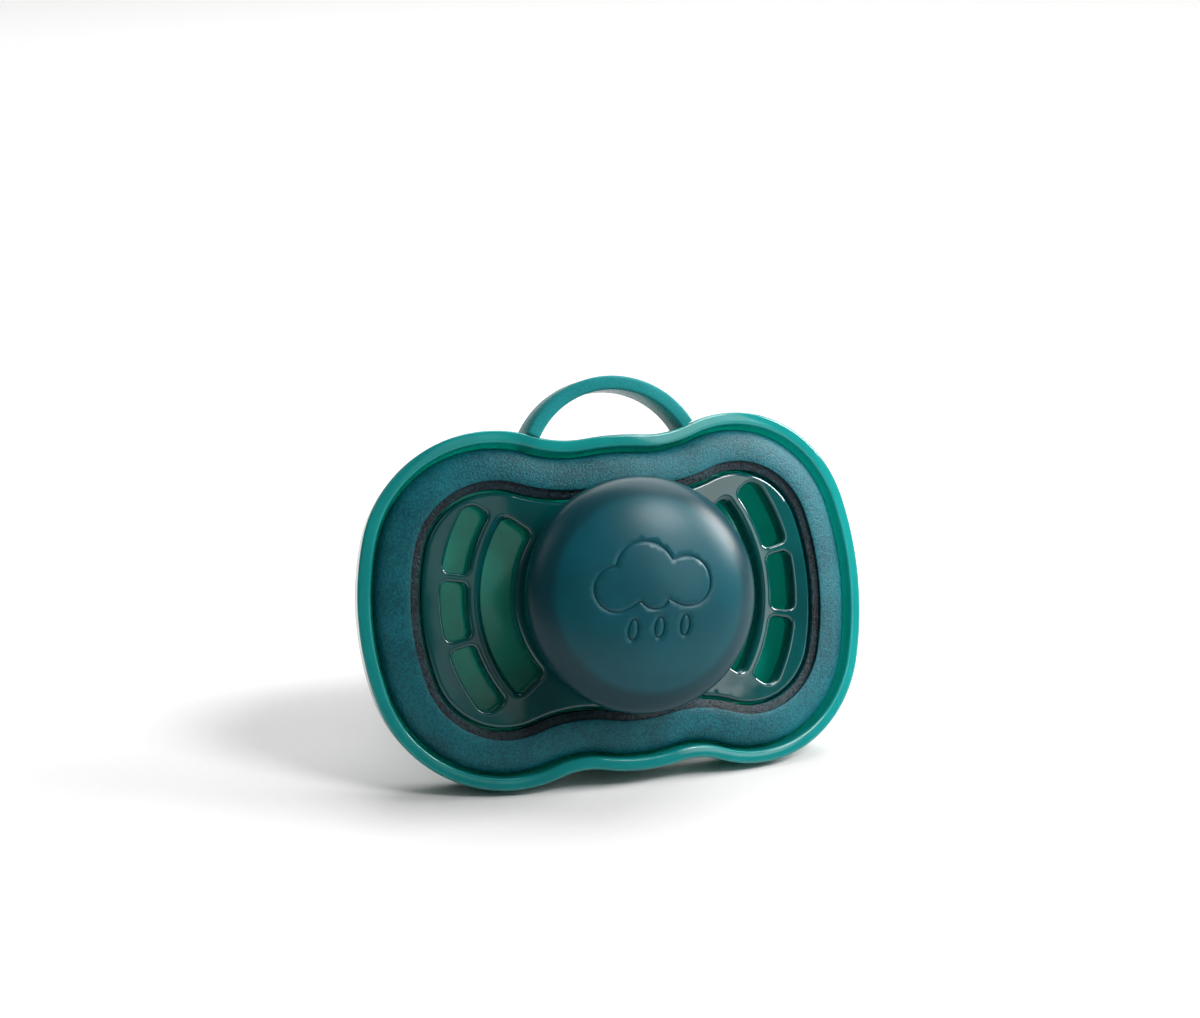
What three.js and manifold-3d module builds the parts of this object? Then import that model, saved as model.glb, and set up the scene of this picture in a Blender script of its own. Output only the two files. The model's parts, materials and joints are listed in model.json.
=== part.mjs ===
// A baby's pacifier lying face out in its storage case, leaning back as it stands on a table.
//
// Everything is built upright first: X to the right, Y from the front to the back, Z up, with the
// pacifier's axis along Y and Y = 0 at the middle of the case rim's front edge. The whole assembly is
// then leaned back until the tray's lower lobes and the teat dome behind them rest on Z = 0.
// All sizes are in millimetres.

import * as THREE from "three";
import { mergeVertices } from "three/addons/utils/BufferGeometryUtils.js";
import Module from "manifold-3d";

const wasm = await Module();
wasm.setup();

// ---- Driving dimensions ---------------------------------------------------------------------------

// Outline of the case: four lobes joined by arcs, with a shallow crest between two dips top and bottom.
const CASE_WIDTH = 56.1;
const CASE_HEIGHT = 37.7;
const LOBE_RADIUS = 13.8;
const SIDE_CROWN = 0.68; // the sides stand out past the lobes by this much
const LOBE_DROP = 0.33; // the lower lobes reach further from the axis than the upper ones by twice this
const TOP_WAIST = 1.5; // the top edge's middle lies this far below its lobes
const BOTTOM_WAIST = 0.7;
const TOP_CREST_RADIUS = 30;
const BOTTOM_CREST_RADIUS = 19.8;
const TOP_DIP_RADIUS = 11.7;
const BOTTOM_DIP_RADIUS = 8.2;
const BOW_RADIUS = 88; // shield and case bow back to both sides with this radius

// Case tray.
const TRAY_DEPTH = 5.5;
const TRAY_WALL = 1.3;
const WALL_DRAFT = 0.137; // the wall moves in by this much for each millimetre towards the back
const RIM_ROUND = 0.25;
const RIM_CHAMFER = 0.35;
const FLOOR_ROUND = 1.5;
const FLOOR_CORNER = 0.5;

// Dome behind the tray that covers the teat.
const DOME_CLEARANCE = 3.2;
const DOME_END_CLEARANCE = 4.1;
const DOME_TAPER = 0.7;
const DOME_ROUND = 5;
const DOME_FOOT_ROUND = 1.2;

// Carrying loop on the top of the case.
const LOOP_RADIUS = 10.5;
const LOOP_RISE = 6.3; // above the middle of the top edge
const LOOP_BAND = 1.5;
const LOOP_DEPTH = 4.6;
const LOOP_SETBACK = 0.4;

// Shield: a soft frosted ring around a clear, hard panel.
const SHIELD_CLEARANCE = 0.32;
const SHIELD_EDGE_DEPTH = 1.5;
const RING_WIDTH = 3.47; // from the shield's edge to the step
const STEP_WIDTH = 0.9;
const STEP_DEPTH = 0.4;
const RING_THICKNESS = 2.2;
const HEEL_WIDTH = 0.7; // the heel around the ring's back that rests on the case floor
const HEEL_BEVEL = 0.85;
const PANEL_THICKNESS = 2.4;

// Air openings in the panel, concentric with the knob.
const VENT_MARGIN = 2.0; // from the panel's side edge to the outer row
const VENT_WIDTH = 2.7;
const VENT_RIB = 1.5; // between the outer row and the slot next to the knob
const VENT_HALF_ANGLE = 9.5; // of the row's middle vent, in degrees
const VENT_GAP_ANGLE = 3.0; // between two vents of the row, in degrees
const VENT_END_MARGIN = 0.27; // from the panel's lobes to the row's outer corners
const VENT_CORNER = 0.7;
const SLOT_WIDTH = 3.4;
const SLOT_END_MARGIN = 2.35; // from the panel's lobes to the slot's outer corners

// Knob.
const KNOB_RADIUS = 12.35;
const KNOB_DOME = 4.6;
const KNOB_EQUATOR = 4.8; // in front of the rim's edge
const KNOB_WALL = 1.5;
const KNOB_TUCK = 1.95; // the cap's back edge lies this far inside its widest circle
const KNOB_BASE_THICKNESS = 1.2;

// Teat, with the flange that the knob's plug clamps in the shield.
const NECK_RADIUS = 5.0;
const TEAT_WALL = 0.9;
const FLANGE_LIP = 1.9;
const FLANGE_THICKNESS = 1.0;
const NECK_LENGTH = 6.8;
const TEAT_LENGTH = 27.5;
const WAIST_RADIUS = 4.2;
const WAIST_DEPTH = 10.4;
const BULB_DEPTH = 18; // widest place of the bulb
const BULB_HALF_WIDTH = 7.4;
const BULB_HALF_HEIGHT = 5.3;
const BULB_LIFT = 1.9;
const PLUG_LENGTH = 6.2;
const PLUG_WALL = 1.2;
const BOSS_WALL = 1.1;
const BOSS_HEIGHT = 1.3;
const COLLAR_HEIGHT = 1.1;
const COLLAR_WALL = 2.0;

const GAP = 0.3; // between pieces that touch

// Steps along curves.
const LOBE_STEPS = 7;
const SMALL_ARC_STEPS = 2;
const CORNER_STEPS = 4;
const CROWN_STEPS = 6;
const LOOP_STEPS = 20;
const KNOB_STEPS = 8;
const KNOB_SEGMENTS = 36;
const TEAT_POINTS = 28;
const NOSE_ANGLES = [18, 36, 54, 68, 80]; // degrees, from the bulb's widest place to the tip

// ---- Sizes that follow ----------------------------------------------------------------------------

const radians = THREE.MathUtils.degToRad;

// How far in from the case's outline its wall is at that depth, on the face that lies the thickness in.
const wallInset = (depth, thickness) => thickness + WALL_DRAFT * depth;

const topLobe = CASE_HEIGHT / 2 - LOBE_DROP;
const bottomLobe = CASE_HEIGHT / 2 + LOBE_DROP;
const topMiddle = topLobe - TOP_WAIST;
const bottomMiddle = bottomLobe - BOTTOM_WAIST;

const floorDepth = TRAY_DEPTH - TRAY_WALL;
const shieldInset = wallInset(SHIELD_EDGE_DEPTH, TRAY_WALL) + SHIELD_CLEARANCE;
const crownInset = shieldInset + RING_WIDTH;
const stepInset = crownInset + STEP_WIDTH;
const panelInset = stepInset + GAP;
const panelFront = STEP_DEPTH;
const panelBack = panelFront + PANEL_THICKNESS;

const domeRadius = BULB_HALF_WIDTH + DOME_CLEARANCE;
const domeEnd = TEAT_LENGTH + DOME_END_CLEARANCE;

const flangeRadius = NECK_RADIUS + FLANGE_LIP;
const counterboreRadius = flangeRadius + GAP;
const bossRadius = counterboreRadius + BOSS_WALL;
const bossFront = panelFront - BOSS_HEIGHT;
const flangeFront = bossFront + GAP;
const flangeBack = flangeFront + FLANGE_THICKNESS;
const boreRadius = NECK_RADIUS + GAP;
const knobBack = bossFront - GAP;
const skirtRadius = KNOB_RADIUS - KNOB_TUCK;
const mouthRadius = skirtRadius - KNOB_BASE_THICKNESS;
const neckBore = NECK_RADIUS - TEAT_WALL;

// ---- Solids ---------------------------------------------------------------------------------------

// One closed body with shared corners, no collapsed triangles, and its faces outward.
function closedBody(geometry) {
  geometry.deleteAttribute("normal");
  geometry.deleteAttribute("uv");
  const merged = mergeVertices(geometry, 1e-4);
  const corners = merged.getIndex().array;
  const kept = [];
  for (let i = 0; i < corners.length; i += 3) {
    const [a, b, c] = [corners[i], corners[i + 1], corners[i + 2]];
    if (a !== b && b !== c && c !== a) kept.push(a, b, c);
  }
  if (signedVolume(merged.getAttribute("position"), kept) < 0) kept.reverse();
  merged.setIndex(kept);
  return merged;
}

function signedVolume(position, corners) {
  const [a, b, c] = [new THREE.Vector3(), new THREE.Vector3(), new THREE.Vector3()];
  let volume = 0;
  for (let i = 0; i < corners.length; i += 3) {
    a.fromBufferAttribute(position, corners[i]);
    b.fromBufferAttribute(position, corners[i + 1]);
    c.fromBufferAttribute(position, corners[i + 2]);
    volume += a.dot(b.cross(c)) / 6;
  }
  return volume;
}

function toManifold(geometry) {
  const vertProperties = new Float32Array(geometry.getAttribute("position").array);
  const triVerts = new Uint32Array(geometry.getIndex().array);
  return new wasm.Manifold(new wasm.Mesh({ numProp: 3, vertProperties, triVerts }));
}

function fromManifold(solid) {
  const mesh = solid.getMesh();
  const geometry = new THREE.BufferGeometry();
  geometry.setAttribute("position", new THREE.BufferAttribute(mesh.vertProperties, 3));
  geometry.setIndex(new THREE.BufferAttribute(mesh.triVerts, 1));
  return geometry;
}

// A skin through rings that all have the same number of points. It closes on itself, or on a pole
// at each end.
function loft(rings, firstPole, lastPole) {
  const count = rings[0].length;
  const points = rings.flat();
  const corners = [];
  const bands = firstPole ? rings.length - 1 : rings.length;
  for (let ring = 0; ring < bands; ring++) {
    const here = ring * count;
    const there = ((ring + 1) % rings.length) * count;
    for (let i = 0; i < count; i++) {
      const next = (i + 1) % count;
      corners.push(here + i, here + next, there + next, here + i, there + next, there + i);
    }
  }
  if (firstPole) {
    const last = (rings.length - 1) * count;
    points.push(firstPole, lastPole);
    for (let i = 0; i < count; i++) {
      const next = (i + 1) % count;
      corners.push(points.length - 2, next, i);
      corners.push(points.length - 1, last + i, last + next);
    }
  }
  const geometry = new THREE.BufferGeometry().setFromPoints(points);
  geometry.setIndex(corners);
  return closedBody(geometry);
}

function turned(profile, segments) {
  return closedBody(new THREE.LatheGeometry(profile, segments));
}

// Points of a quarter ellipse, from its first to its second angle in degrees.
function ellipsePoints(centreX, centreY, radiusX, radiusY, from, to, steps) {
  const points = [];
  for (let i = 0; i <= steps; i++) {
    const angle = radians(from + ((to - from) * i) / steps);
    points.push(new THREE.Vector2(centreX + radiusX * Math.cos(angle), centreY + radiusY * Math.sin(angle)));
  }
  return points;
}

// ---- The case's outline ---------------------------------------------------------------------------

// Centre of the arc that touches two circles from outside, on the side away from the axis.
function dipCentre(crest, crestRadius, lobe, dipRadius) {
  const reach = crestRadius + dipRadius;
  const span = crest.distanceTo(lobe);
  const lobeReach = LOBE_RADIUS + dipRadius;
  const along = (reach ** 2 - lobeReach ** 2 + span ** 2) / (2 * span);
  const across = Math.sqrt(reach ** 2 - along ** 2);
  const direction = lobe.clone().sub(crest).divideScalar(span);
  const away = new THREE.Vector2(-direction.y, direction.x);
  if (away.y * Math.sign(lobe.y) < 0) away.negate();
  return crest.clone().addScaledVector(direction, along).addScaledVector(away, across);
}

// Arcs of the right half, from the middle of the top edge clockwise to the middle of the bottom edge.
function outlineArcs() {
  const lobeX = CASE_WIDTH / 2 - LOBE_RADIUS - SIDE_CROWN;
  const upper = new THREE.Vector2(lobeX, topLobe - LOBE_RADIUS);
  const lower = new THREE.Vector2(lobeX, LOBE_RADIUS - bottomLobe);
  const halfSpan = (upper.y - lower.y) / 2;
  const sideReach = (halfSpan ** 2 - SIDE_CROWN ** 2) / (2 * SIDE_CROWN);
  const sideRadius = sideReach + CASE_WIDTH / 2 - lobeX;
  const side = new THREE.Vector2(CASE_WIDTH / 2 - sideRadius, (upper.y + lower.y) / 2);
  const topCrest = new THREE.Vector2(0, topMiddle - TOP_CREST_RADIUS);
  const bottomCrest = new THREE.Vector2(0, BOTTOM_CREST_RADIUS - bottomMiddle);
  const topDip = dipCentre(topCrest, TOP_CREST_RADIUS, upper, TOP_DIP_RADIUS);
  const bottomDip = dipCentre(bottomCrest, BOTTOM_CREST_RADIUS, lower, BOTTOM_DIP_RADIUS);
  const heading = (from, to) => to.clone().sub(from).angle();
  const arc = (centre, radius, from, to, steps, hollow) => ({ centre, radius, from, to, steps, hollow });
  return [
    arc(topCrest, TOP_CREST_RADIUS, Math.PI / 2, heading(topCrest, topDip), 1, false),
    arc(topDip, TOP_DIP_RADIUS, heading(topDip, topCrest), heading(topDip, upper), SMALL_ARC_STEPS, true),
    arc(upper, LOBE_RADIUS, heading(upper, topDip), heading(side, upper), LOBE_STEPS, false),
    arc(side, sideRadius, heading(side, upper), heading(side, lower), SMALL_ARC_STEPS, false),
    arc(lower, LOBE_RADIUS, heading(side, lower), heading(lower, bottomDip), LOBE_STEPS, false),
    arc(
      bottomDip, BOTTOM_DIP_RADIUS, heading(bottomDip, lower), heading(bottomDip, bottomCrest),
      SMALL_ARC_STEPS, true),
    arc(bottomCrest, BOTTOM_CREST_RADIUS, heading(bottomCrest, bottomDip), -Math.PI / 2, 1, false),
  ];
}

const ARCS = outlineArcs();

// The outline moved inward by the inset, as points around the whole case. The arcs keep their centres
// and angles, so the same point of every inset lies on the same normal.
function outline(inset) {
  const right = [];
  for (const { centre, radius, from, to, steps, hollow } of ARCS) {
    const turn = Math.atan2(Math.sin(to - from), Math.cos(to - from));
    const reach = hollow ? radius + inset : radius - inset;
    for (let i = 0; i < steps; i++) {
      const angle = from + (turn * i) / steps;
      right.push(new THREE.Vector2(centre.x + reach * Math.cos(angle), centre.y + reach * Math.sin(angle)));
    }
  }
  right.push(new THREE.Vector2(0, inset - bottomMiddle));
  const left = right.slice(1, -1).reverse().map((point) => new THREE.Vector2(-point.x, point.y));
  return right.concat(left);
}

const bow = (x) => x ** 2 / (2 * BOW_RADIUS);

function outlineRing(inset, depth) {
  return outline(inset).map((point) => new THREE.Vector3(point.x, depth + bow(point.x), point.y));
}

// A circle about the pacifier's axis, clockwise from the top with one point for each outline point,
// either bowed like the outline or flat.
function circleRing(radius, depth, bowed) {
  return outline(0).map((_, i, points) => {
    const angle = Math.PI / 2 - (2 * Math.PI * i) / points.length;
    const x = radius * Math.cos(angle);
    return new THREE.Vector3(x, depth + (bowed ? bow(x) : 0), radius * Math.sin(angle));
  });
}

// A ring part of the way from one to another, bowed again at its own place.
function between(ringA, ringB, share, depth) {
  return ringA.map((point, i) => {
    const middle = point.clone().lerp(ringB[i], share);
    return middle.setY(depth + bow(middle.x));
  });
}

// ---- Case -----------------------------------------------------------------------------------------

// One side of the dome: from the middle of its end, round the corner and along its wall to its foot.
function domeRings(footRadius, footDepth, endDepth, round) {
  const endRadius = footRadius - DOME_TAPER;
  const corner = ellipsePoints(endRadius - round, endDepth - round, round, round, 90, 0, CORNER_STEPS);
  const foot = ellipsePoints(
    footRadius + DOME_FOOT_ROUND, footDepth + DOME_FOOT_ROUND,
    DOME_FOOT_ROUND, DOME_FOOT_ROUND, 180, 270, SMALL_ARC_STEPS);
  return [
    ...corner.map((point) => circleRing(point.x, point.y, false)),
    ...foot.map((point, i) => circleRing(point.x, point.y, i > 0)),
  ];
}

function caseTray() {
  const outerDome = domeRings(domeRadius + TRAY_WALL, TRAY_DEPTH, domeEnd + TRAY_WALL, DOME_ROUND);
  const innerDome = domeRings(domeRadius, floorDepth, domeEnd, DOME_ROUND - TRAY_WALL);
  const cornerStart = wallInset(TRAY_DEPTH - FLOOR_ROUND, 0);
  const outerCorner = ellipsePoints(
    cornerStart + FLOOR_ROUND, TRAY_DEPTH - FLOOR_ROUND, FLOOR_ROUND, FLOOR_ROUND, 90, 180, CORNER_STEPS);
  const innerCorner = ellipsePoints(
    wallInset(floorDepth - FLOOR_CORNER, TRAY_WALL) + FLOOR_CORNER,
    floorDepth - FLOOR_CORNER, FLOOR_CORNER, FLOOR_CORNER, 180, 90, SMALL_ARC_STEPS);
  const toRing = (point) => outlineRing(point.x, point.y);
  const outerFloor = toRing(outerCorner[0]);
  const innerFloor = toRing(innerCorner.at(-1));
  const rings = [
    ...outerDome,
    between(outerDome.at(-1), outerFloor, 0.5, TRAY_DEPTH),
    ...outerCorner.map(toRing),
    outlineRing(wallInset(RIM_ROUND, 0), RIM_ROUND),
    outlineRing(RIM_ROUND, 0),
    outlineRing(TRAY_WALL - RIM_CHAMFER, 0),
    outlineRing(wallInset(RIM_CHAMFER, TRAY_WALL), RIM_CHAMFER),
    ...innerCorner.map(toRing),
    between(innerFloor, innerDome.at(-1), 0.5, floorDepth),
    ...innerDome.reverse(),
  ];
  return loft(rings, new THREE.Vector3(0, domeEnd + TRAY_WALL, 0), new THREE.Vector3(0, domeEnd, 0));
}

// The space inside the tray's outer wall, grown by the gap and run on past the loop to the front and
// the back. The loop's feet stop at it.
function trayEnvelope() {
  const front = -LOOP_DEPTH;
  const back = TRAY_DEPTH + LOOP_DEPTH;
  const rings = [
    outlineRing(wallInset(front, -GAP), front),
    outlineRing(wallInset(back, -GAP), back),
  ];
  return loft(rings, new THREE.Vector3(0, front, 0), new THREE.Vector3(0, back, 0));
}

function carryLoop() {
  const centreZ = topMiddle + LOOP_RISE - LOOP_RADIUS;
  const band = new THREE.Shape().absarc(0, 0, LOOP_RADIUS, 0, Math.PI, false);
  band.absarc(0, 0, LOOP_RADIUS - LOOP_BAND, Math.PI, 0, true);
  const arch = new THREE.ExtrudeGeometry(
    band, { depth: LOOP_DEPTH, bevelEnabled: false, curveSegments: LOOP_STEPS });
  arch.rotateX(Math.PI / 2);
  arch.translate(0, LOOP_SETBACK + LOOP_DEPTH, centreZ);
  const blank = toManifold(closedBody(arch));
  return fromManifold(blank.subtract(toManifold(trayEnvelope())));
}

// ---- Shield ---------------------------------------------------------------------------------------

function shieldRing() {
  const crown = ellipsePoints(
    crownInset, SHIELD_EDGE_DEPTH, RING_WIDTH, SHIELD_EDGE_DEPTH, 180, 270, CROWN_STEPS);
  const back = STEP_DEPTH + RING_THICKNESS;
  const heelBack = floorDepth - GAP;
  const heelInset = wallInset(heelBack - HEEL_BEVEL, TRAY_WALL) + SHIELD_CLEARANCE;
  const rings = [
    ...crown.map((point) => outlineRing(point.x, point.y)),
    outlineRing(stepInset, STEP_DEPTH),
    outlineRing(stepInset, back),
    outlineRing(crownInset, back),
    outlineRing(heelInset + HEEL_WIDTH * 2, heelBack - HEEL_BEVEL / 2),
    outlineRing(heelInset + HEEL_WIDTH, heelBack),
    outlineRing(heelInset, heelBack - HEEL_BEVEL),
  ];
  return loft(rings);
}

function polar(radius, degrees) {
  const angle = radians(degrees);
  return new THREE.Vector2(radius * Math.cos(angle), radius * Math.sin(angle));
}

// A rounded opening between two radii and two angles in degrees, as a prism through the panel.
function ventPrism(innerRadius, outerRadius, from, to) {
  const outerTurn = THREE.MathUtils.radToDeg(VENT_CORNER / outerRadius);
  const innerTurn = THREE.MathUtils.radToDeg(VENT_CORNER / innerRadius);
  const shape = new THREE.Shape();
  const corner = (tip, end) => shape.quadraticCurveTo(tip.x, tip.y, end.x, end.y);
  const start = polar(outerRadius, from + outerTurn);
  shape.moveTo(start.x, start.y);
  shape.absarc(0, 0, outerRadius, radians(from + outerTurn), radians(to - outerTurn), false);
  corner(polar(outerRadius, to), polar(outerRadius - VENT_CORNER, to));
  const inward = polar(innerRadius + VENT_CORNER, to);
  shape.lineTo(inward.x, inward.y);
  corner(polar(innerRadius, to), polar(innerRadius, to - innerTurn));
  shape.absarc(0, 0, innerRadius, radians(to - innerTurn), radians(from + innerTurn), true);
  corner(polar(innerRadius, from), polar(innerRadius + VENT_CORNER, from));
  const outward = polar(outerRadius - VENT_CORNER, from);
  shape.lineTo(outward.x, outward.y);
  corner(polar(outerRadius, from), start);
  const length = PANEL_THICKNESS + 2 * bow(CASE_WIDTH / 2);
  const prism = new THREE.ExtrudeGeometry(
    shape, { depth: length, bevelEnabled: false, curveSegments: CORNER_STEPS });
  prism.rotateX(Math.PI / 2);
  prism.translate(0, panelFront + length - bow(CASE_WIDTH / 4), 0);
  return closedBody(prism);
}

// Angle in degrees at which a circle about the axis comes within the margin of an upper lobe of the
// panel. The lower lobes reach a little further out, so the same angle clears them too.
function endAngle(radius, margin) {
  const lobe = new THREE.Vector2(CASE_WIDTH / 2 - LOBE_RADIUS - SIDE_CROWN, topLobe - LOBE_RADIUS);
  const reach = LOBE_RADIUS - panelInset - margin;
  const cosine = (radius ** 2 + lobe.lengthSq() - reach ** 2) / (2 * radius * lobe.length());
  return THREE.MathUtils.radToDeg(lobe.angle() + Math.acos(cosine));
}

// The openings of both sides: a long slot next to the knob and a row of three vents outside it.
function vents() {
  const ventOuter = CASE_WIDTH / 2 - panelInset - VENT_MARGIN;
  const ventInner = ventOuter - VENT_WIDTH;
  const slotOuter = ventInner - VENT_RIB;
  const slotInner = slotOuter - SLOT_WIDTH;
  const slotEnd = endAngle(slotOuter, SLOT_END_MARGIN);
  const rowEnd = endAngle(ventOuter, VENT_END_MARGIN);
  const rowStart = VENT_HALF_ANGLE + VENT_GAP_ANGLE;
  const openings = [
    [slotInner, slotOuter, -slotEnd, slotEnd],
    [ventInner, ventOuter, -VENT_HALF_ANGLE, VENT_HALF_ANGLE],
    [ventInner, ventOuter, rowStart, rowEnd],
    [ventInner, ventOuter, -rowEnd, -rowStart],
  ];
  return openings.flatMap(([innerRadius, outerRadius, from, to]) => [
    ventPrism(innerRadius, outerRadius, from, to),
    ventPrism(innerRadius, outerRadius, 180 - to, 180 - from),
  ]);
}

function shieldPanel() {
  const frontEdge = outlineRing(panelInset, panelFront);
  const backEdge = outlineRing(panelInset, panelBack);
  const bossFoot = circleRing(bossRadius, panelFront, true);
  const collarBack = panelBack + COLLAR_HEIGHT;
  const collarRadius = boreRadius + COLLAR_WALL;
  const collarFoot = circleRing(collarRadius, panelBack, true);
  const thirds = [1 / 3, 2 / 3];
  const rings = [
    frontEdge,
    ...thirds.map((share) => between(frontEdge, bossFoot, share, panelFront)),
    bossFoot,
    circleRing(bossRadius, bossFront, false),
    circleRing(counterboreRadius, bossFront, false),
    circleRing(counterboreRadius, flangeBack + GAP, false),
    circleRing(boreRadius, flangeBack + GAP, false),
    circleRing(boreRadius, collarBack, false),
    circleRing(collarRadius, collarBack, false),
    collarFoot,
    ...thirds.map((share) => between(collarFoot, backEdge, share, panelBack)),
    backEdge,
  ];
  let panel = toManifold(loft(rings));
  for (const opening of vents()) {
    panel = panel.subtract(toManifold(opening));
  }
  return fromManifold(panel);
}

// ---- Knob -----------------------------------------------------------------------------------------

function knobCap() {
  const skirtDepth = KNOB_EQUATOR + knobBack;
  const innerRadius = KNOB_RADIUS - KNOB_WALL;
  const innerDome = KNOB_DOME - KNOB_WALL;
  const profile = [
    ...ellipsePoints(0, -KNOB_EQUATOR, KNOB_RADIUS, KNOB_DOME, 270, 360, KNOB_STEPS),
    ...ellipsePoints(skirtRadius, -KNOB_EQUATOR, KNOB_TUCK, skirtDepth, 0, 90, CORNER_STEPS).slice(1),
    new THREE.Vector2(mouthRadius, knobBack),
    new THREE.Vector2(mouthRadius, knobBack - KNOB_BASE_THICKNESS - GAP),
    ...ellipsePoints(0, -KNOB_EQUATOR, innerRadius, innerDome, 360, 270, KNOB_STEPS),
  ];
  return turned(profile, KNOB_SEGMENTS);
}

// The knob's base closes the cap, and its hollow plug passes the shield and holds the teat's neck.
function knobBase() {
  const baseRadius = mouthRadius - GAP;
  const plugRadius = neckBore - GAP;
  const pressFront = flangeFront - GAP;
  const profile = [
    [0, knobBack - KNOB_BASE_THICKNESS],
    [baseRadius, knobBack - KNOB_BASE_THICKNESS],
    [baseRadius, knobBack],
    [flangeRadius - GAP, knobBack],
    [flangeRadius - GAP, pressFront],
    [plugRadius, pressFront],
    [plugRadius, PLUG_LENGTH],
    [plugRadius - PLUG_WALL, PLUG_LENGTH],
    [plugRadius - PLUG_WALL, knobBack + PLUG_WALL],
    [0, knobBack + PLUG_WALL],
  ];
  return turned(profile.map(([radius, depth]) => new THREE.Vector2(radius, depth)), KNOB_SEGMENTS);
}

// ---- Teat -----------------------------------------------------------------------------------------

function ovalRing(halfWidth, halfHeight, lift, depth) {
  const ring = [];
  for (let i = 0; i < TEAT_POINTS; i++) {
    const angle = (2 * Math.PI * i) / TEAT_POINTS;
    ring.push(new THREE.Vector3(halfWidth * Math.cos(angle), depth, lift + halfHeight * Math.sin(angle)));
  }
  return ring;
}

function teatLift(depth) {
  return BULB_LIFT * THREE.MathUtils.smoothstep(depth, NECK_LENGTH, TEAT_LENGTH);
}

// Rings that grow or shrink smoothly from one size to the next.
function swell(from, to, thickness) {
  const rings = [];
  for (let i = 1; i <= CORNER_STEPS; i++) {
    const share = i / CORNER_STEPS;
    const ease = (1 - Math.cos(Math.PI * share)) / 2;
    const depth = THREE.MathUtils.lerp(from.depth, to.depth, share);
    const halfWidth = THREE.MathUtils.lerp(from.halfWidth, to.halfWidth, ease) - thickness;
    const halfHeight = THREE.MathUtils.lerp(from.halfHeight, to.halfHeight, ease) - thickness;
    rings.push(ovalRing(halfWidth, halfHeight, teatLift(depth), depth));
  }
  return rings;
}

// The bulb's skin, the given thickness inside its outer face, from the neck's end to near the tip.
function bulbRings(thickness) {
  const neck = { depth: NECK_LENGTH, halfWidth: NECK_RADIUS, halfHeight: NECK_RADIUS };
  const waist = { depth: WAIST_DEPTH, halfWidth: WAIST_RADIUS, halfHeight: WAIST_RADIUS };
  const bulb = { depth: BULB_DEPTH, halfWidth: BULB_HALF_WIDTH, halfHeight: BULB_HALF_HEIGHT };
  const noseLength = TEAT_LENGTH - BULB_DEPTH - thickness;
  const nose = NOSE_ANGLES.map((degrees) => {
    const shrink = Math.cos(radians(degrees));
    const depth = BULB_DEPTH + noseLength * Math.sin(radians(degrees));
    const halfWidth = (BULB_HALF_WIDTH - thickness) * shrink;
    return ovalRing(halfWidth, (BULB_HALF_HEIGHT - thickness) * shrink, teatLift(depth), depth);
  });
  return [...swell(neck, waist, thickness), ...swell(waist, bulb, thickness), ...nose];
}

function teat() {
  const round = (radius, depth) => ovalRing(radius, radius, 0, depth);
  const innerTip = TEAT_LENGTH - TEAT_WALL;
  const rings = [
    ...bulbRings(0).reverse(),
    round(NECK_RADIUS, NECK_LENGTH),
    round(NECK_RADIUS, flangeBack),
    round(flangeRadius, flangeBack),
    round(flangeRadius, flangeFront),
    round(neckBore, flangeFront),
    round(neckBore, NECK_LENGTH),
    ...bulbRings(TEAT_WALL),
  ];
  const outerPole = new THREE.Vector3(0, TEAT_LENGTH, teatLift(TEAT_LENGTH));
  const innerPole = new THREE.Vector3(0, innerTip, teatLift(innerTip));
  return loft(rings, outerPole, innerPole);
}

// ---- Assembly -------------------------------------------------------------------------------------

function piece(name, geometry, color, roughness) {
  const material = new THREE.MeshStandardMaterial({ color, roughness, metalness: 0 });
  const mesh = new THREE.Mesh(geometry, material);
  mesh.name = name;
  return mesh;
}

const storageCase = new THREE.Group();
storageCase.add(
  piece("case_tray", caseTray(), 0x0f7d74, 0.22),
  piece("carry_loop", carryLoop(), 0x2b8580, 0.22),
);

const pacifier = new THREE.Group();
pacifier.add(
  piece("shield_ring", shieldRing(), 0x1f6a74, 0.55),
  piece("shield_panel", shieldPanel(), 0x0b5a55, 0.15),
  piece("knob_cap", knobCap(), 0x2a5f6c, 0.45),
  piece("knob_base", knobBase(), 0x1c6a70, 0.3),
  piece("teat", teat(), 0xd9dcd2, 0.35),
);

// The case leans back on a line that touches the rounded back corner under its lower lobes and the
// round of the dome's end.
function leanAngle() {
  const lobeX = CASE_WIDTH / 2 - LOBE_RADIUS - SIDE_CROWN;
  const cornerDepth = TRAY_DEPTH - FLOOR_ROUND;
  const cornerZ = wallInset(cornerDepth, FLOOR_ROUND) - bottomLobe;
  const cornerCentre = new THREE.Vector2(cornerDepth + bow(lobeX), cornerZ);
  const roundZ = DOME_TAPER + DOME_ROUND - domeRadius - TRAY_WALL;
  const roundCentre = new THREE.Vector2(domeEnd + TRAY_WALL - DOME_ROUND, roundZ);
  const line = roundCentre.sub(cornerCentre);
  return line.angle() - Math.asin((DOME_ROUND - FLOOR_ROUND) / line.length());
}

const leaning = new THREE.Group();
leaning.add(storageCase, pacifier);
leaning.rotation.x = -leanAngle();
leaning.updateMatrixWorld(true);

// Origin under the middle of the whole object, on the surface that it stands on.
const extent = new THREE.Box3().setFromObject(leaning, true);
leaning.position.set(0, -(extent.min.y + extent.max.y) / 2, -extent.min.z);

const group = new THREE.Group();
group.add(leaning);

export default group;
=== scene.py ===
"""A baby's pacifier lying face out in its teal storage case, leaning back on a pale table.

Every piece is shaped upright first, in millimetres: x to the right, depth from the front to the back,
z up, with the pacifier's axis along depth. place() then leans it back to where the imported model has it.
"""

import json
import math

import bmesh
import bpy
import numpy as np
from mathutils import Matrix, Vector, geometry


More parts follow.
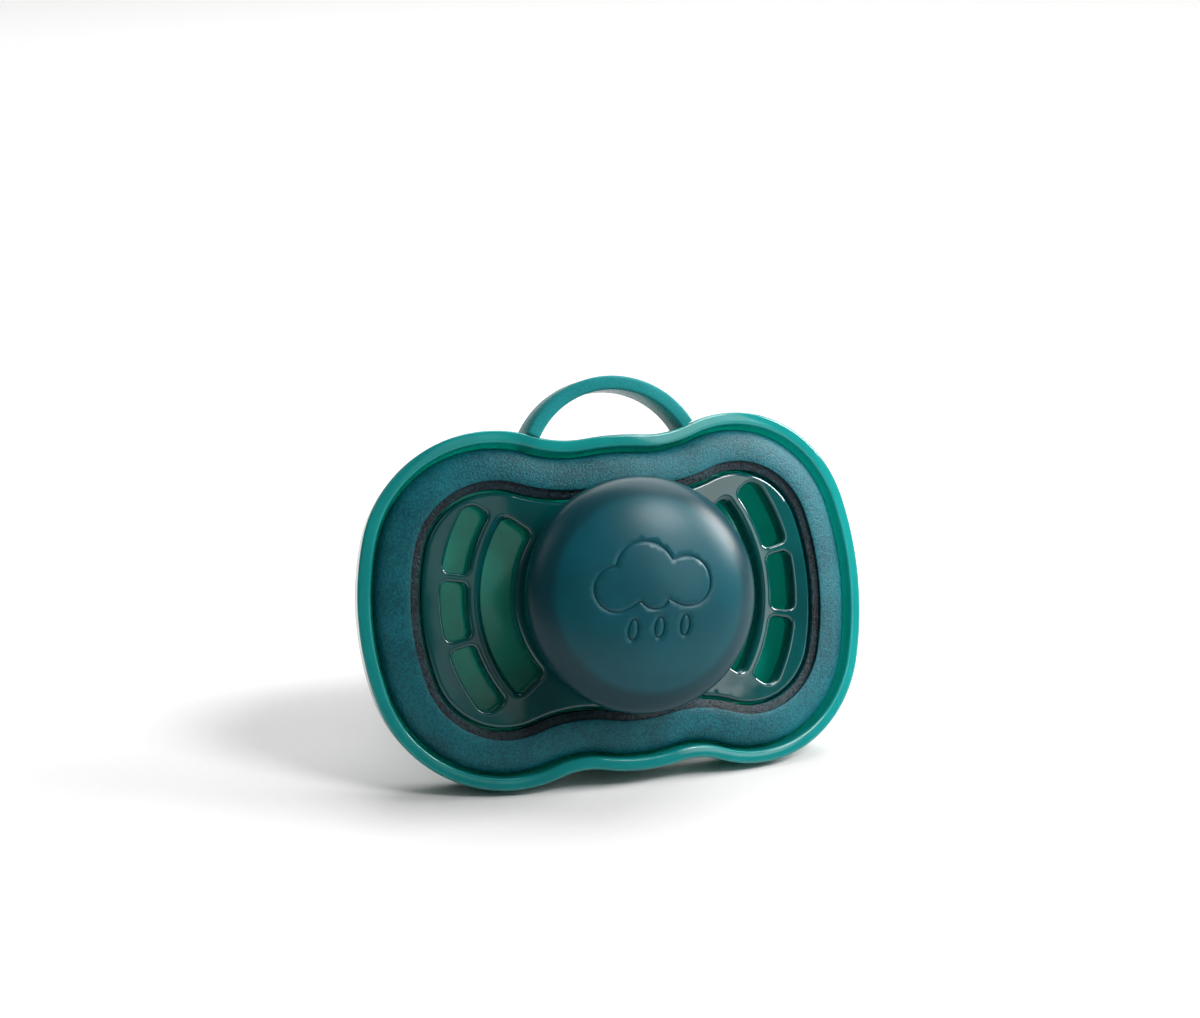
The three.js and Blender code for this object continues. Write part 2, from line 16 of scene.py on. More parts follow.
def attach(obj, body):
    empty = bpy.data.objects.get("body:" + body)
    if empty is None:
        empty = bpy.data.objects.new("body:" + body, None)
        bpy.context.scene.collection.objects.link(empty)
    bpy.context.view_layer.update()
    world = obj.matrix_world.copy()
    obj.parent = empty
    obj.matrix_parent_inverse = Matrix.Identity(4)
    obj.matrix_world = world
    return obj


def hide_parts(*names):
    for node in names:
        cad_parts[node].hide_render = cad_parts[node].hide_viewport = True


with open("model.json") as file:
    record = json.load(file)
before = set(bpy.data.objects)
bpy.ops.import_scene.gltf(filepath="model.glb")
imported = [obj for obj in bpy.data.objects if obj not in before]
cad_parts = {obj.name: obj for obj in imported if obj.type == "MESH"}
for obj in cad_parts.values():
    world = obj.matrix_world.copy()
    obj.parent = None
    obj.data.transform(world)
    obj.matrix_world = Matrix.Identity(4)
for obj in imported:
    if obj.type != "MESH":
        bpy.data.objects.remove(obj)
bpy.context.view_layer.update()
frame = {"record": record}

# ---- Sizes in millimetres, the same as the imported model's --------------------------------------------

MM = 0.001

CASE_WIDTH = 56.1
CASE_HEIGHT = 37.7
LOBE_RADIUS = 13.8
SIDE_CROWN = 0.68  # the sides stand out past the lobes by this much
LOBE_DROP = 0.33  # the lower lobes reach further from the axis than the upper ones by twice this
TOP_WAIST = 1.5  # the top edge's middle lies this far below its lobes
BOTTOM_WAIST = 0.7
TOP_CREST_RADIUS = 30.0
BOTTOM_CREST_RADIUS = 19.8
TOP_DIP_RADIUS = 11.7
BOTTOM_DIP_RADIUS = 8.2
BOW_RADIUS = 88.0  # shield and case bow back to both sides with this radius

TRAY_DEPTH = 5.5
TRAY_WALL = 1.3
WALL_DRAFT = 0.137  # the wall moves in by this much for each millimetre towards the back
RIM_OUTER_ROUND = 0.28
RIM_INNER_ROUND = 0.3
RIM_LEAN = 0.03  # about how far the wall has moved in where the rim's rounds begin
FLOOR_ROUND = 1.5
FLOOR_CORNER = 0.5

DOME_RADIUS = 10.6
DOME_END = 31.6
DOME_TAPER = 0.7
DOME_ROUND = 5.0
DOME_FOOT_ROUND = 1.2

LOOP_RADIUS = 10.5
LOOP_RISE = 6.3  # above the middle of the top edge
LOOP_BAND = 1.5
LOOP_DEPTH = 4.6
LOOP_SETBACK = 0.4
LOOP_EDGE = 0.3  # rounding of the band's long edges
LOOP_TURN = 122.0  # degrees of arch, which take both feet to the rim

SHIELD_CLEARANCE = 0.32
SHIELD_EDGE_DEPTH = 1.5
RING_WIDTH = 3.47  # from the shield's edge to the step
CROWN_FLATNESS = 0.86  # 1 makes the ring's crown a quarter of an ellipse, and less makes it flatter
STEP_WIDTH = 0.9
STEP_DEPTH = 0.4
RING_THICKNESS = 2.2
RING_LIP = 0.14  # rounding of the crown's inner edge
RING_LIP_SINK = 0.01  # how far that edge lies behind the crown's highest line
STEP_FOOT = 0.1  # rounding where the step meets the crown's inner wall
HEEL_WIDTH = 0.7  # the heel around the ring's back that rests on the case floor
HEEL_BEVEL = 0.85
PANEL_THICKNESS = 2.4
PANEL_ROUND = 0.4
PANEL_BACK_ROUND = 0.15
APRON = 0.08  # flat strip in front of a rounded edge, which keeps the face's shading flat up to it

VENT_MARGIN = 2.0  # from the panel's side edge to the outer row
VENT_WIDTH = 2.7
VENT_RIB = 1.5  # between the outer row and the slot next to the knob
VENT_CORNER = 0.7
ROW_MIDDLE = 9.5  # degrees from the shield's side to the end of the row's middle vent
ROW_START = 12.5  # degrees to the next vent of the row
ROW_END = 35.5  # degrees to the end of the row
ROW_END_CORNER = 1.4
SLOT_WIDTH = 3.4
SLOT_END = 38.0  # degrees to the end of the slot next to the knob
SLOT_CORNER = 0.8
VENT_ROUND = 0.36  # rounding of the front edge of every opening
SLOT_EXTRA_ROUND = 0.5  # what the slot's outer edge is rounded more
VENT_BACK_ROUND = 0.2

KNOB_RADIUS = 12.35
KNOB_DOME = 4.6
KNOB_EQUATOR = 4.8  # the knob's widest circle lies this far in front of the rim's edge
KNOB_WALL = 1.5
KNOB_TUCK = 1.95  # the cap's back edge lies this far inside its widest circle
KNOB_BASE_THICKNESS = 1.2
KNOB_FACE_RADIUS = 9.6  # the middle of the dome, which holds the engraving
KNOB_DISC_SHARE = 0.78  # of the knob's radius, up to which its disc colour reaches
KNOB_PAINTED_SHADE_SHARE = 0.86  # of the knob's radius, from which its painted rim shade is full
CLOUD_CENTRE = (0.0, 0.7)
CLOUD_PUFFS = [((-3.9, 0.75), 2.35), ((-0.7, 2.3), 3.15), ((3.7, 1.0), 2.6), ((0.0, 0.0), 1.6)]
CLOUD_BASE = 1.6  # below the knob's middle
DROP_SIZE = (0.5, 1.05)  # half the width and half the height
DROP_TILT = -12.0  # degrees
DROP_PLACES = [(-2.6, -3.5), (0.2, -3.5), (3.0, -3.5)]
GROOVE_HALF_WIDTH = 0.13
GROOVE_DEPTH = 0.14
GROOVE_PROFILE = [(1.0, 0.0), (0.7, 0.25), (0.4, 0.8), (0.0, 1.0), (-0.4, 0.8), (-0.7, 0.25), (-1.0, 0.0)]

NECK_RADIUS = 5.0
TEAT_WALL = 0.9
FLANGE_LIP = 1.9
FLANGE_THICKNESS = 1.0
NECK_LENGTH = 6.8
TEAT_LENGTH = 27.5
WAIST_RADIUS = 4.2
WAIST_DEPTH = 10.4
BULB_DEPTH = 18.0  # widest place of the bulb
BULB_HALF_WIDTH = 7.4
BULB_HALF_HEIGHT = 5.3
BULB_LIFT = 1.9
PLUG_LENGTH = 6.2
PLUG_WALL = 1.2
BOSS_WALL = 1.1
BOSS_HEIGHT = 1.3
BOSS_ROUND = 0.2
BOSS_FOOT_ROUND = 0.35
COLLAR_HEIGHT = 1.1
COLLAR_WALL = 2.0
GAP = 0.3  # between pieces that touch


def wall_inset(depth, thickness):
    """How far the case's drafted wall lies inside the outline, on the face that is this far in."""
    return thickness + WALL_DRAFT * depth


top_lobe = CASE_HEIGHT / 2 - LOBE_DROP
bottom_lobe = CASE_HEIGHT / 2 + LOBE_DROP
top_middle = top_lobe - TOP_WAIST
bottom_middle = bottom_lobe - BOTTOM_WAIST
lobe_x = CASE_WIDTH / 2 - LOBE_RADIUS - SIDE_CROWN
floor_depth = TRAY_DEPTH - TRAY_WALL
shield_inset = wall_inset(SHIELD_EDGE_DEPTH, TRAY_WALL) + SHIELD_CLEARANCE
crown_inset = shield_inset + RING_WIDTH
step_inset = crown_inset + STEP_WIDTH
panel_inset = step_inset + GAP
panel_front = STEP_DEPTH
panel_back = panel_front + PANEL_THICKNESS
flange_radius = NECK_RADIUS + FLANGE_LIP
counterbore_radius = flange_radius + GAP
boss_radius = counterbore_radius + BOSS_WALL
boss_front = panel_front - BOSS_HEIGHT
flange_front = boss_front + GAP
flange_back = flange_front + FLANGE_THICKNESS
bore_radius = NECK_RADIUS + GAP
knob_back = boss_front - GAP
skirt_radius = KNOB_RADIUS - KNOB_TUCK
mouth_radius = skirt_radius - KNOB_BASE_THICKNESS
neck_bore = NECK_RADIUS - TEAT_WALL

# ---- Where the upright shapes go ---------------------------------------------------------------------

dome_mount = next(m for m in frame["record"]["mounts"] if m["name"] == "dome_end")
INWARD = Vector(dome_mount["axis"]).normalized()
RIGHT = Vector((1.0, 0.0, 0.0))
UPWARD = RIGHT.cross(INWARD)
ORIGIN = Vector(dome_mount["pos_m"]) - INWARD * ((DOME_END + TRAY_WALL) * MM)


def place(points):
    """Upright points in millimetres, as an array of x, depth and z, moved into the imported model's frame."""
    points = np.asarray(points, float)
    basis = np.array([RIGHT, INWARD, UPWARD])
    return points @ basis * MM + np.array(ORIGIN)


def make_piece(name, points, faces, smooth=True):
    """A mesh object of upright points, with those points kept as the attribute its materials read."""
    mesh = bpy.data.meshes.new(name)
    mesh.from_pydata(place(points).tolist(), [], faces)
    mesh.validate()
    upright = mesh.attributes.new("upright", "FLOAT_VECTOR", "POINT")
    upright.data.foreach_set("vector", np.asarray(points, np.float32).ravel())
    mesh.polygons.foreach_set("use_smooth", [smooth] * len(mesh.polygons))
    mesh.update()
    piece = bpy.data.objects.new(name, mesh)
    bpy.context.scene.collection.objects.link(piece)
    return piece


# ---- The outline -------------------------------------------------------------------------------------


def dip_centre(crest, crest_radius, lobe, dip_radius):
    """Centre of the hollow arc that touches a crest and a lobe from outside."""
    crest, lobe = np.array(crest), np.array(lobe)
    reach = crest_radius + dip_radius
    span = np.linalg.norm(lobe - crest)
    along = (reach**2 - (LOBE_RADIUS + dip_radius) ** 2 + span**2) / (2 * span)
    across = math.sqrt(reach**2 - along**2)
    direction = (lobe - crest) / span
    away = np.array([-direction[1], direction[0]])
    if away[1] * lobe[1] < 0:
        away = -away
    return crest + direction * along + away * across


def heading(start, end):
    return math.atan2(end[1] - start[1], end[0] - start[0])


def outline_arcs():
    """Arcs of the right half from the top clockwise: centre, radius, first angle, turn, hollow."""
    upper = (lobe_x, top_lobe - LOBE_RADIUS)
    lower = (lobe_x, LOBE_RADIUS - bottom_lobe)
    half_span = (upper[1] - lower[1]) / 2
    side_radius = (half_span**2 - SIDE_CROWN**2) / (2 * SIDE_CROWN) + CASE_WIDTH / 2 - lobe_x
    side = (CASE_WIDTH / 2 - side_radius, (upper[1] + lower[1]) / 2)
    crest = (0.0, top_middle - TOP_CREST_RADIUS)
    low_crest = (0.0, BOTTOM_CREST_RADIUS - bottom_middle)
    dip = dip_centre(crest, TOP_CREST_RADIUS, upper, TOP_DIP_RADIUS)
    low_dip = dip_centre(low_crest, BOTTOM_CREST_RADIUS, lower, BOTTOM_DIP_RADIUS)
    plan = [
        (crest, TOP_CREST_RADIUS, math.pi / 2, heading(crest, dip), False),
        (dip, TOP_DIP_RADIUS, heading(dip, crest), heading(dip, upper), True),
        (upper, LOBE_RADIUS, heading(upper, dip), heading(side, upper), False),
        (side, side_radius, heading(side, upper), heading(side, lower), False),
        (lower, LOBE_RADIUS, heading(side, lower), heading(lower, low_dip), False),
        (low_dip, BOTTOM_DIP_RADIUS, heading(low_dip, lower), heading(low_dip, low_crest), True),
        (low_crest, BOTTOM_CREST_RADIUS, heading(low_crest, low_dip), -math.pi / 2, False),
    ]
    arcs = []
    for centre, radius, first, last, hollow in plan:
        turn = math.atan2(math.sin(last - first), math.cos(last - first))
        arcs.append((np.array(centre), radius, first, turn, hollow))
    return arcs


ARCS = outline_arcs()
OUTLINE_STEP = 0.45  # between neighbouring points of the outline


def outline(inset):
    """The case's outline moved inward by the inset, clockwise from the middle of the top edge."""
    right = []
    for centre, radius, first, turn, hollow in ARCS:
        reach = radius + inset if hollow else radius - inset
        steps = max(4, round(abs(turn) * radius / OUTLINE_STEP))
        angles = first + turn * np.arange(steps) / steps
        right.append(centre + reach * np.stack([np.cos(angles), np.sin(angles)], 1))
    right.append(np.array([[0.0, inset - bottom_middle]]))
    right = np.concatenate(right)
    left = right[1:-1][::-1] * np.array([-1.0, 1.0])
    return np.concatenate([right, left])


OUTLINE_COUNT = len(outline(0.0))


def bow(x):
    """How much further back shield and case lie at this distance from the middle."""
    return np.asarray(x) ** 2 / (2 * BOW_RADIUS)


def bowed_ring(flat, depth):
    """Flat points at a depth that bows back to both sides."""
    return np.stack([flat[:, 0], depth + bow(flat[:, 0]), flat[:, 1]], 1)


def outline_ring(inset, depth):
    return bowed_ring(outline(inset), depth)


def circle_ring(radius, depth, bowed=False, count=None):
    count = count or OUTLINE_COUNT
    angles = math.pi / 2 - 2 * math.pi * np.arange(count) / count
    x = radius * np.cos(angles)
    back = depth + (bow(x) if bowed else 0.0)
    return np.stack([x, back + 0.0 * x, radius * np.sin(angles)], 1)


def between(ring_a, ring_b, share, depth):
    """A bowed ring part of the way from one ring to another."""
    middle = ring_a * (1 - share) + ring_b * share
    middle[:, 1] = depth + bow(middle[:, 0])
    return middle


def arc_points(centre, radii, first, last, steps):
    """Points of an ellipse's arc between two angles in degrees, both ends included."""
    angles = np.radians(np.linspace(first, last, steps + 1))
    return [(centre[0] + radii[0] * math.cos(a), centre[1] + radii[1] * math.sin(a)) for a in angles]


def path_normals(path):
    """Unit normals of a closed flat path, to the right of its direction."""
    tangent = np.roll(path, -1, axis=0) - np.roll(path, 1, axis=0)
    tangent /= np.linalg.norm(tangent, axis=1)[:, None]
    return np.stack([tangent[:, 1], -tangent[:, 0]], 1)


# ---- Materials ---------------------------------------------------------------------------------------


class Finish:
    """A material's node tree, with short calls for the nodes that every finish here uses."""

    def __init__(self, name):
        self.material = bpy.data.materials.new(name)
        self.material.use_nodes = True
        self.tree = self.material.node_tree
        self.tree.nodes.clear()
        self.output = self.node("ShaderNodeOutputMaterial")

    def node(self, kind, **settings):
        made = self.tree.nodes.new(kind)
        for key, value in settings.items():
            setattr(made, key, value)
        return made

    def link(self, source, target):
        self.tree.links.new(source, target)

    def upright(self):
        return self.node("ShaderNodeAttribute", attribute_name="upright").outputs["Vector"]

    def split(self, vector):
        made = self.node("ShaderNodeSeparateXYZ")
        self.link(vector, made.inputs["Vector"])
        return made.outputs

    def noise(self, vector, scale, detail=2.0, roughness=0.5):
        made = self.node("ShaderNodeTexNoise")
        made.inputs["Scale"].default_value = scale
        made.inputs["Detail"].default_value = detail
        made.inputs["Roughness"].default_value = roughness
        self.link(vector, made.inputs["Vector"])
        return made.outputs["Fac"]

    def spread(self, value, low, high, to_low=0.0, to_high=1.0):
        made = self.node("ShaderNodeMapRange", interpolation_type="SMOOTHSTEP")
        for socket, number in (
            ("From Min", low),
            ("From Max", high),
            ("To Min", to_low),
            ("To Max", to_high),
        ):
            made.inputs[socket].default_value = number
        self.link(value, made.inputs["Value"])
        return made.outputs["Result"]

    def maths(self, operation, a, b):
        made = self.node("ShaderNodeMath", operation=operation)
        for socket, value in zip(made.inputs, (a, b)):
            if isinstance(value, (int, float)):
                socket.default_value = value
            else:
                self.link(value, socket)
        return made.outputs["Value"]

    def blend_colours(self, factor, a, b):
        made = self.node("ShaderNodeMix", data_type="RGBA")
        self.link(factor, made.inputs["Factor"])
        for socket, value in (("A", a), ("B", b)):
            target = next(s for s in made.inputs if s.name == socket and s.type == "RGBA")
            if isinstance(value, tuple):
                target.default_value = (*value, 1.0)
            else:
                self.link(value, target)
        return next(s for s in made.outputs if s.type == "RGBA")

    def bump(self, height, strength, distance, normal=None):
        made = self.node("ShaderNodeBump")
        made.inputs["Strength"].default_value = strength
        made.inputs["Distance"].default_value = distance
        self.link(height, made.inputs["Height"])
        if normal is not None:
            self.link(normal, made.inputs["Normal"])
        return made.outputs["Normal"]

    def plastic(self, colour, roughness, normal, **constants):
        made = self.node("ShaderNodeBsdfPrincipled")
        self.link(colour, made.inputs["Base Color"])
        self.link(roughness, made.inputs["Roughness"])
        self.link(normal, made.inputs["Normal"])
        for key, value in constants.items():
            made.inputs[key.replace("_", " ")].default_value = value
        return made.outputs["BSDF"]

    def glow_through(self, colour, normal):
        made = self.node("ShaderNodeBsdfTranslucent")
        self.link(colour, made.inputs["Color"])
        self.link(normal, made.inputs["Normal"])
        return made.outputs["BSDF"]

    def finish(self, shader, other=None, share=0.0):
        if other is None:
            self.link(shader, self.output.inputs["Surface"])
            return self.material
        made = self.node("ShaderNodeMixShader")
        made.inputs["Fac"].default_value = share
        self.link(shader, made.inputs[1])
        self.link(other, made.inputs[2])
        self.link(made.outputs["Shader"], self.output.inputs["Surface"])
        return self.material


# Between these depths the painted sheen on the rim gives way to the floor's colour and painted glow.
DEEP_START = 0.3  # millimetres behind the rim, where the deep colour begins
DEEP_END = 2.4  # where it is full


def clear_teal(
        name, dark, light, glow, roughness, transmission, glow_share,
        scuffs=0.02, deep=None, painted_floor_glow=None, gloss=0.5, ior=1.5):
    """Dyed clear plastic: cloudy colour, faint moulding waves, fine scuffs, light passing through.
    With a deep colour and glow, the colour turns to them from the rim back to the floor: the lighter teal
    left at the rim is painted sheen, and the brighter glow towards the floor is painted light."""
    finish = Finish(name)
    spot = finish.upright()
    cloud = finish.noise(spot, 0.12, 3.0)
    colour = finish.blend_colours(finish.spread(cloud, 0.3, 0.7), dark, light)
    # Painted sheen: the rim keeps a lighter teal, and the colour turns to the deep colour further back.
    if deep:
        across, back, _ = finish.split(spot)
        sag = finish.maths("DIVIDE", finish.maths("MULTIPLY", across, across), 2 * BOW_RADIUS)
        depth = finish.spread(finish.maths("SUBTRACT", back, sag), DEEP_START, DEEP_END)
        colour = finish.blend_colours(depth, colour, deep)
    scratch = finish.noise(spot, 6.0, 4.0, 0.7)
    rough = finish.spread(scratch, 0.35, 0.75, roughness, roughness + scuffs * 3)
    wave = finish.noise(spot, 0.35, 1.0)
    normal = finish.bump(wave, 0.25, 0.00008)
    normal = finish.bump(scratch, 0.12, 0.00001, normal)
    shell = finish.plastic(
        colour, rough, normal,
        Transmission_Weight=transmission, IOR=ior, Specular_IOR_Level=gloss,
        Coat_Weight=gloss / 2, Coat_Roughness=0.04)
    glow_colour = finish.blend_colours(finish.spread(cloud, 0.3, 0.7), glow, tuple(c * 1.15 for c in glow))
    # Painted light: the glow grows brighter towards the floor, standing in for light passing through the case
    # onto it.
    if deep:
        glow_colour = finish.blend_colours(depth, glow_colour, painted_floor_glow)
    return finish.finish(shell, finish.glow_through(glow_colour, normal), glow_share)


def frosted_teal(name, dark, light, glow, roughness, grain_height, grain_scale, gloss, glow_share):
    """Plastic with a spark-eroded grain: fine speckle in height, colour and roughness."""
    finish = Finish(name)
    spot = finish.upright()
    fine = finish.noise(spot, grain_scale, 3.0, 0.75)
    cloud = finish.noise(spot, 0.2, 2.0)
    tone = finish.maths("ADD", finish.maths("MULTIPLY", fine, 0.7), finish.maths("MULTIPLY", cloud, 0.3))
    colour = finish.blend_colours(finish.spread(tone, 0.38, 0.62), dark, light)
    rough = finish.spread(fine, 0.3, 0.7, roughness - 0.05, roughness + 0.08)
    normal = finish.bump(fine, 1.0, grain_height)
    shell = finish.plastic(colour, rough, normal, IOR=1.47, Specular_IOR_Level=gloss)
    glow_colour = finish.blend_colours(finish.spread(cloud, 0.3, 0.7), glow, tuple(c * 1.1 for c in glow))
    return finish.finish(shell, finish.glow_through(glow_colour, normal), glow_share)


# The case's deep colour and glow paint sheen on the rim and light on the floor seen through the vents.
CASE_FINISH = clear_teal(
    "case_teal", dark=(0.008, 0.26, 0.265), light=(0.012, 0.33, 0.33), glow=(0.01, 0.32, 0.29),
    roughness=0.08, transmission=0.3, glow_share=0.26,
    deep=(0.006, 0.27, 0.21), painted_floor_glow=(0.006, 0.75, 0.62))
PANEL_FINISH = clear_teal(
    "panel_teal", dark=(0.001, 0.055, 0.06), light=(0.002, 0.085, 0.085), glow=(0.002, 0.17, 0.15),
    roughness=0.05, transmission=0.3, glow_share=0.08, scuffs=0.01)
RING_FINISH = frosted_teal(
    "ring_frost", dark=(0.001, 0.05, 0.068), light=(0.004, 0.13, 0.16), glow=(0.006, 0.18, 0.2),
    roughness=0.36, grain_height=0.00008, grain_scale=4.2, gloss=0.28, glow_share=0.12)
BAND_FINISH = frosted_teal(
    "band_spark_grain", dark=(0.001, 0.005, 0.008), light=(0.008, 0.03, 0.04), glow=(0.003, 0.03, 0.03),
    roughness=0.36, grain_height=0.0002, grain_scale=2.4, gloss=0.25, glow_share=0.03)


def satin_teal(name, disc, painted_shade_rim, glow):
    """Satin plastic dyed right through, with painted shade making it darker where the wall turns back round
    its rim.
    """
    finish = Finish(name)
    spot = finish.upright()
    across, _, height = finish.split(spot)
    squares = [finish.maths("MULTIPLY", side, side) for side in (across, height)]
    reach = finish.maths("POWER", finish.maths("ADD", *squares), 0.5)
    cloud = finish.noise(spot, 0.14, 2.0)
    # Painted shade: colour and glow darken from the disc out to the rim.
    edge = finish.spread(reach, KNOB_RADIUS * KNOB_DISC_SHARE, KNOB_RADIUS * KNOB_PAINTED_SHADE_SHARE)
    tone = finish.blend_colours(finish.spread(cloud, 0.3, 0.7), disc, tuple(c * 1.25 for c in disc))
    colour = finish.blend_colours(edge, tone, painted_shade_rim)
    haze = finish.noise(spot, 9.0, 3.0, 0.7)
    rough = finish.spread(haze, 0.3, 0.7, 0.3, 0.34)
    normal = finish.bump(finish.noise(spot, 0.5, 1.0), 0.15, 0.00005)
    shell = finish.plastic(colour, rough, normal, IOR=1.45, Transmission_Weight=0.2, Specular_IOR_Level=0.26)
    glow_colour = finish.blend_colours(edge, glow, tuple(c * 0.8 for c in glow))
    return finish.finish(shell, finish.glow_through(glow_colour, normal), 0.15)


# The rim colour is painted shade.
KNOB_FINISH = satin_teal(
    "knob_satin", disc=(0.002, 0.066, 0.088), painted_shade_rim=(0.002, 0.042, 0.056), glow=(0.008, 0.22, 0.25))
PLUG_FINISH = clear_teal(
    "plug_teal", dark=(0.001, 0.08, 0.09), light=(0.002, 0.11, 0.12), glow=(0.005, 0.2, 0.2),
    roughness=0.2, transmission=0.5, glow_share=0.15)


def silicone(name):
    """Soft, slightly milky rubber with a dusty skin."""
    finish = Finish(name)
    spot = finish.upright()
    cloud = finish.noise(spot, 0.15, 2.0)
    colour = finish.blend_colours(finish.spread(cloud, 0.3, 0.7), (0.62, 0.64, 0.58), (0.75, 0.76, 0.71))
    dust = finish.noise(spot, 5.0, 4.0, 0.7)
    rough = finish.spread(dust, 0.3, 0.75, 0.26, 0.42)
    normal = finish.bump(dust, 0.2, 0.00002)
    body = finish.plastic(
        colour, rough, normal, Transmission_Weight=0.45, IOR=1.41,
        Subsurface_Weight=0.35, Subsurface_Scale=0.0015)
    glow = finish.blend_colours(finish.spread(cloud, 0.3, 0.7), (0.7, 0.72, 0.66), (0.8, 0.8, 0.75))
    return finish.finish(body, finish.glow_through(glow, normal), 0.3)


TEAT_FINISH = silicone("teat_silicone")

# ---- Building skins ----------------------------------------------------------------------------------


def inside(points, border):
    """Which of the flat points lie inside the closed border."""
    x, y = points[:, 0][:, None], points[:, 1][:, None]
    start_x, start_y = border[:, 0][None], border[:, 1][None]
    end_x, end_y = np.roll(border[:, 0], -1)[None], np.roll(border[:, 1], -1)[None]
    crosses = (start_y > y) != (end_y > y)
    rise = np.where(end_y == start_y, 1.0, end_y - start_y)
    to_left = x < (end_x - start_x) * (y - start_y) / rise + start_x
    return (np.sum(crosses & to_left, axis=1) % 2) == 1


def inside_only(points, borders):
    """Which of the flat points lie inside the first border and outside the others."""
    keep = inside(points, borders[0])
    for hole in borders[1:]:
        keep &= ~inside(points, hole)
    return keep


ROW_PITCH = 0.87  # of the spacing, between rows of loose points, for nearly even triangles
BORDER_ROOM = 0.55  # of the spacing, which loose points keep from every border


def loose_spots(borders, spacing):
    """Evenly spread flat points between the borders."""
    low, high = borders[0].min(0), borders[0].max(0)
    columns = np.arange(low[0] + spacing / 3, high[0], spacing)
    rows = np.arange(low[1] + spacing / 3, high[1], spacing * ROW_PITCH)
    grid = np.array([(x + (spacing / 2 if k % 2 else 0.0), z) for k, z in enumerate(rows) for x in columns])
    grid = grid[inside_only(grid, borders)]
    edge = np.concatenate(borders)
    clear = np.ones(len(grid), bool)
    batch = 500
    for start in range(0, len(grid), batch):
        part = grid[start : start + batch]
        apart = np.sqrt(((part[:, None] - edge[None]) ** 2).sum(2)).min(1)
        clear[start : start + batch] = apart > spacing * BORDER_ROOM
    return grid[clear]


class Skin:
    """Points and faces of one closed solid, gathered ring by ring. A face's mark is its material's place."""

    def __init__(self):
        self.points = []
        self.faces = []
        self.marks = []

    def ring(self, points):
        """Adds points and returns their places in the list, which stand for the ring."""
        start = len(self.points)
        self.points.extend([tuple(p) for p in points])
        return list(range(start, start + len(points)))

    def face(self, corners, mark):
        self.faces.append(tuple(corners))
        self.marks.append(mark)

    def bridge(self, here, there, mark=0):
        for i in range(len(here)):
            n = (i + 1) % len(here)
            self.face((here[i], here[n], there[n], there[i]), mark)

    def run(self, start, rings, mark=0):
        """Bridges an existing ring through new rings and returns the last one."""
        here = start
        for points in rings:
            there = self.ring(points)
            self.bridge(here, there, mark)
            here = there
        return here

    def fan(self, ring, pole, mark=0):
        tip = self.ring([pole])[0]
        for i in range(len(ring)):
            self.face((ring[i], ring[(i + 1) % len(ring)], tip), mark)

    def sheet(self, outer, holes, depth_at, spacing, mark=0):
        """Fills the space inside the outer ring and outside the holes, with loose points between."""
        rings = [outer] + holes
        borders = [np.array([(self.points[i][0], self.points[i][2]) for i in ring]) for ring in rings]
        grid = loose_spots(borders, spacing)
        loose = self.ring([(x, float(depth_at(x, z)), z) for x, z in grid])
        index = [i for ring in rings for i in ring] + loose
        spots = [Vector(spot) for spot in np.concatenate(borders + [grid]).tolist()]
        edges = []
        start = 0
        for ring in rings:
            edges += [(start + i, start + (i + 1) % len(ring)) for i in range(len(ring))]
            start += len(ring)
        filled = geometry.delaunay_2d_cdt(spots, edges, [], 0, 1e-7)
        source = [index[origin[0]] if origin else None for origin in filled[3]]
        where = np.array([tuple(spot) for spot in filled[0]])
        triangles = [corners for corners in filled[2] if all(source[i] is not None for i in corners)]
        centres = np.array([where[list(corners)].mean(0) for corners in triangles])
        for triangle, kept in zip(triangles, inside_only(centres, borders)):
            if kept:
                self.face([source[i] for i in triangle], mark)

    def piece(self, name, materials):
        """The finished object, its faces turned outward and its materials by mark."""
        piece = make_piece(name, self.points, self.faces)
        for material in materials:
            piece.data.materials.append(material)
        piece.data.polygons.foreach_set("material_index", self.marks)
        turn_outward(piece)
        return piece


def turn_outward(piece):
    """Turns every face of a closed piece to point outward."""
    mesh = bmesh.new()
    mesh.from_mesh(piece.data)
    bmesh.ops.recalc_face_normals(mesh, faces=mesh.faces)
    if mesh.calc_volume(signed=True) < 0:
        bmesh.ops.reverse_faces(mesh, faces=mesh.faces)
    mesh.to_mesh(piece.data)
    mesh.free()
    piece.data.update()


def finished(piece, body, slot, *nodes):
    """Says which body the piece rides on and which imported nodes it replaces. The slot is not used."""
    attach(piece, body)
    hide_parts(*nodes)


# ---- Case tray ---------------------------------------------------------------------------------------


def dome_side(foot_radius, foot_depth, end_depth, corner):
    """Rings of one side of the dome, from the middle of its end down to its foot."""
    end_radius = foot_radius - DOME_TAPER
    rings = [circle_ring(radius, end_depth) for radius in np.linspace(0.4, end_radius - corner, 5)[:-1]]
    for radius, depth in arc_points((end_radius - corner, end_depth - corner), (corner, corner), 90, 0, 10):
        rings.append(circle_ring(radius, depth))
    wall_foot = foot_depth + DOME_FOOT_ROUND
    for share in np.linspace(0, 1, 8)[1:]:
        depth = (end_depth - corner) * (1 - share) + wall_foot * share
        rings.append(circle_ring(end_radius + DOME_TAPER * share, depth))
    steps = 6
    foot = arc_points((foot_radius + DOME_FOOT_ROUND, wall_foot), (DOME_FOOT_ROUND,) * 2, 180, 270, steps)
    for step in range(1, steps + 1):
        radius, depth = foot[step]
        flat, bent = circle_ring(radius, depth), circle_ring(radius, depth, True)
        share = step / steps
        rings.append(flat * (1 - share) + bent * share)
    return rings


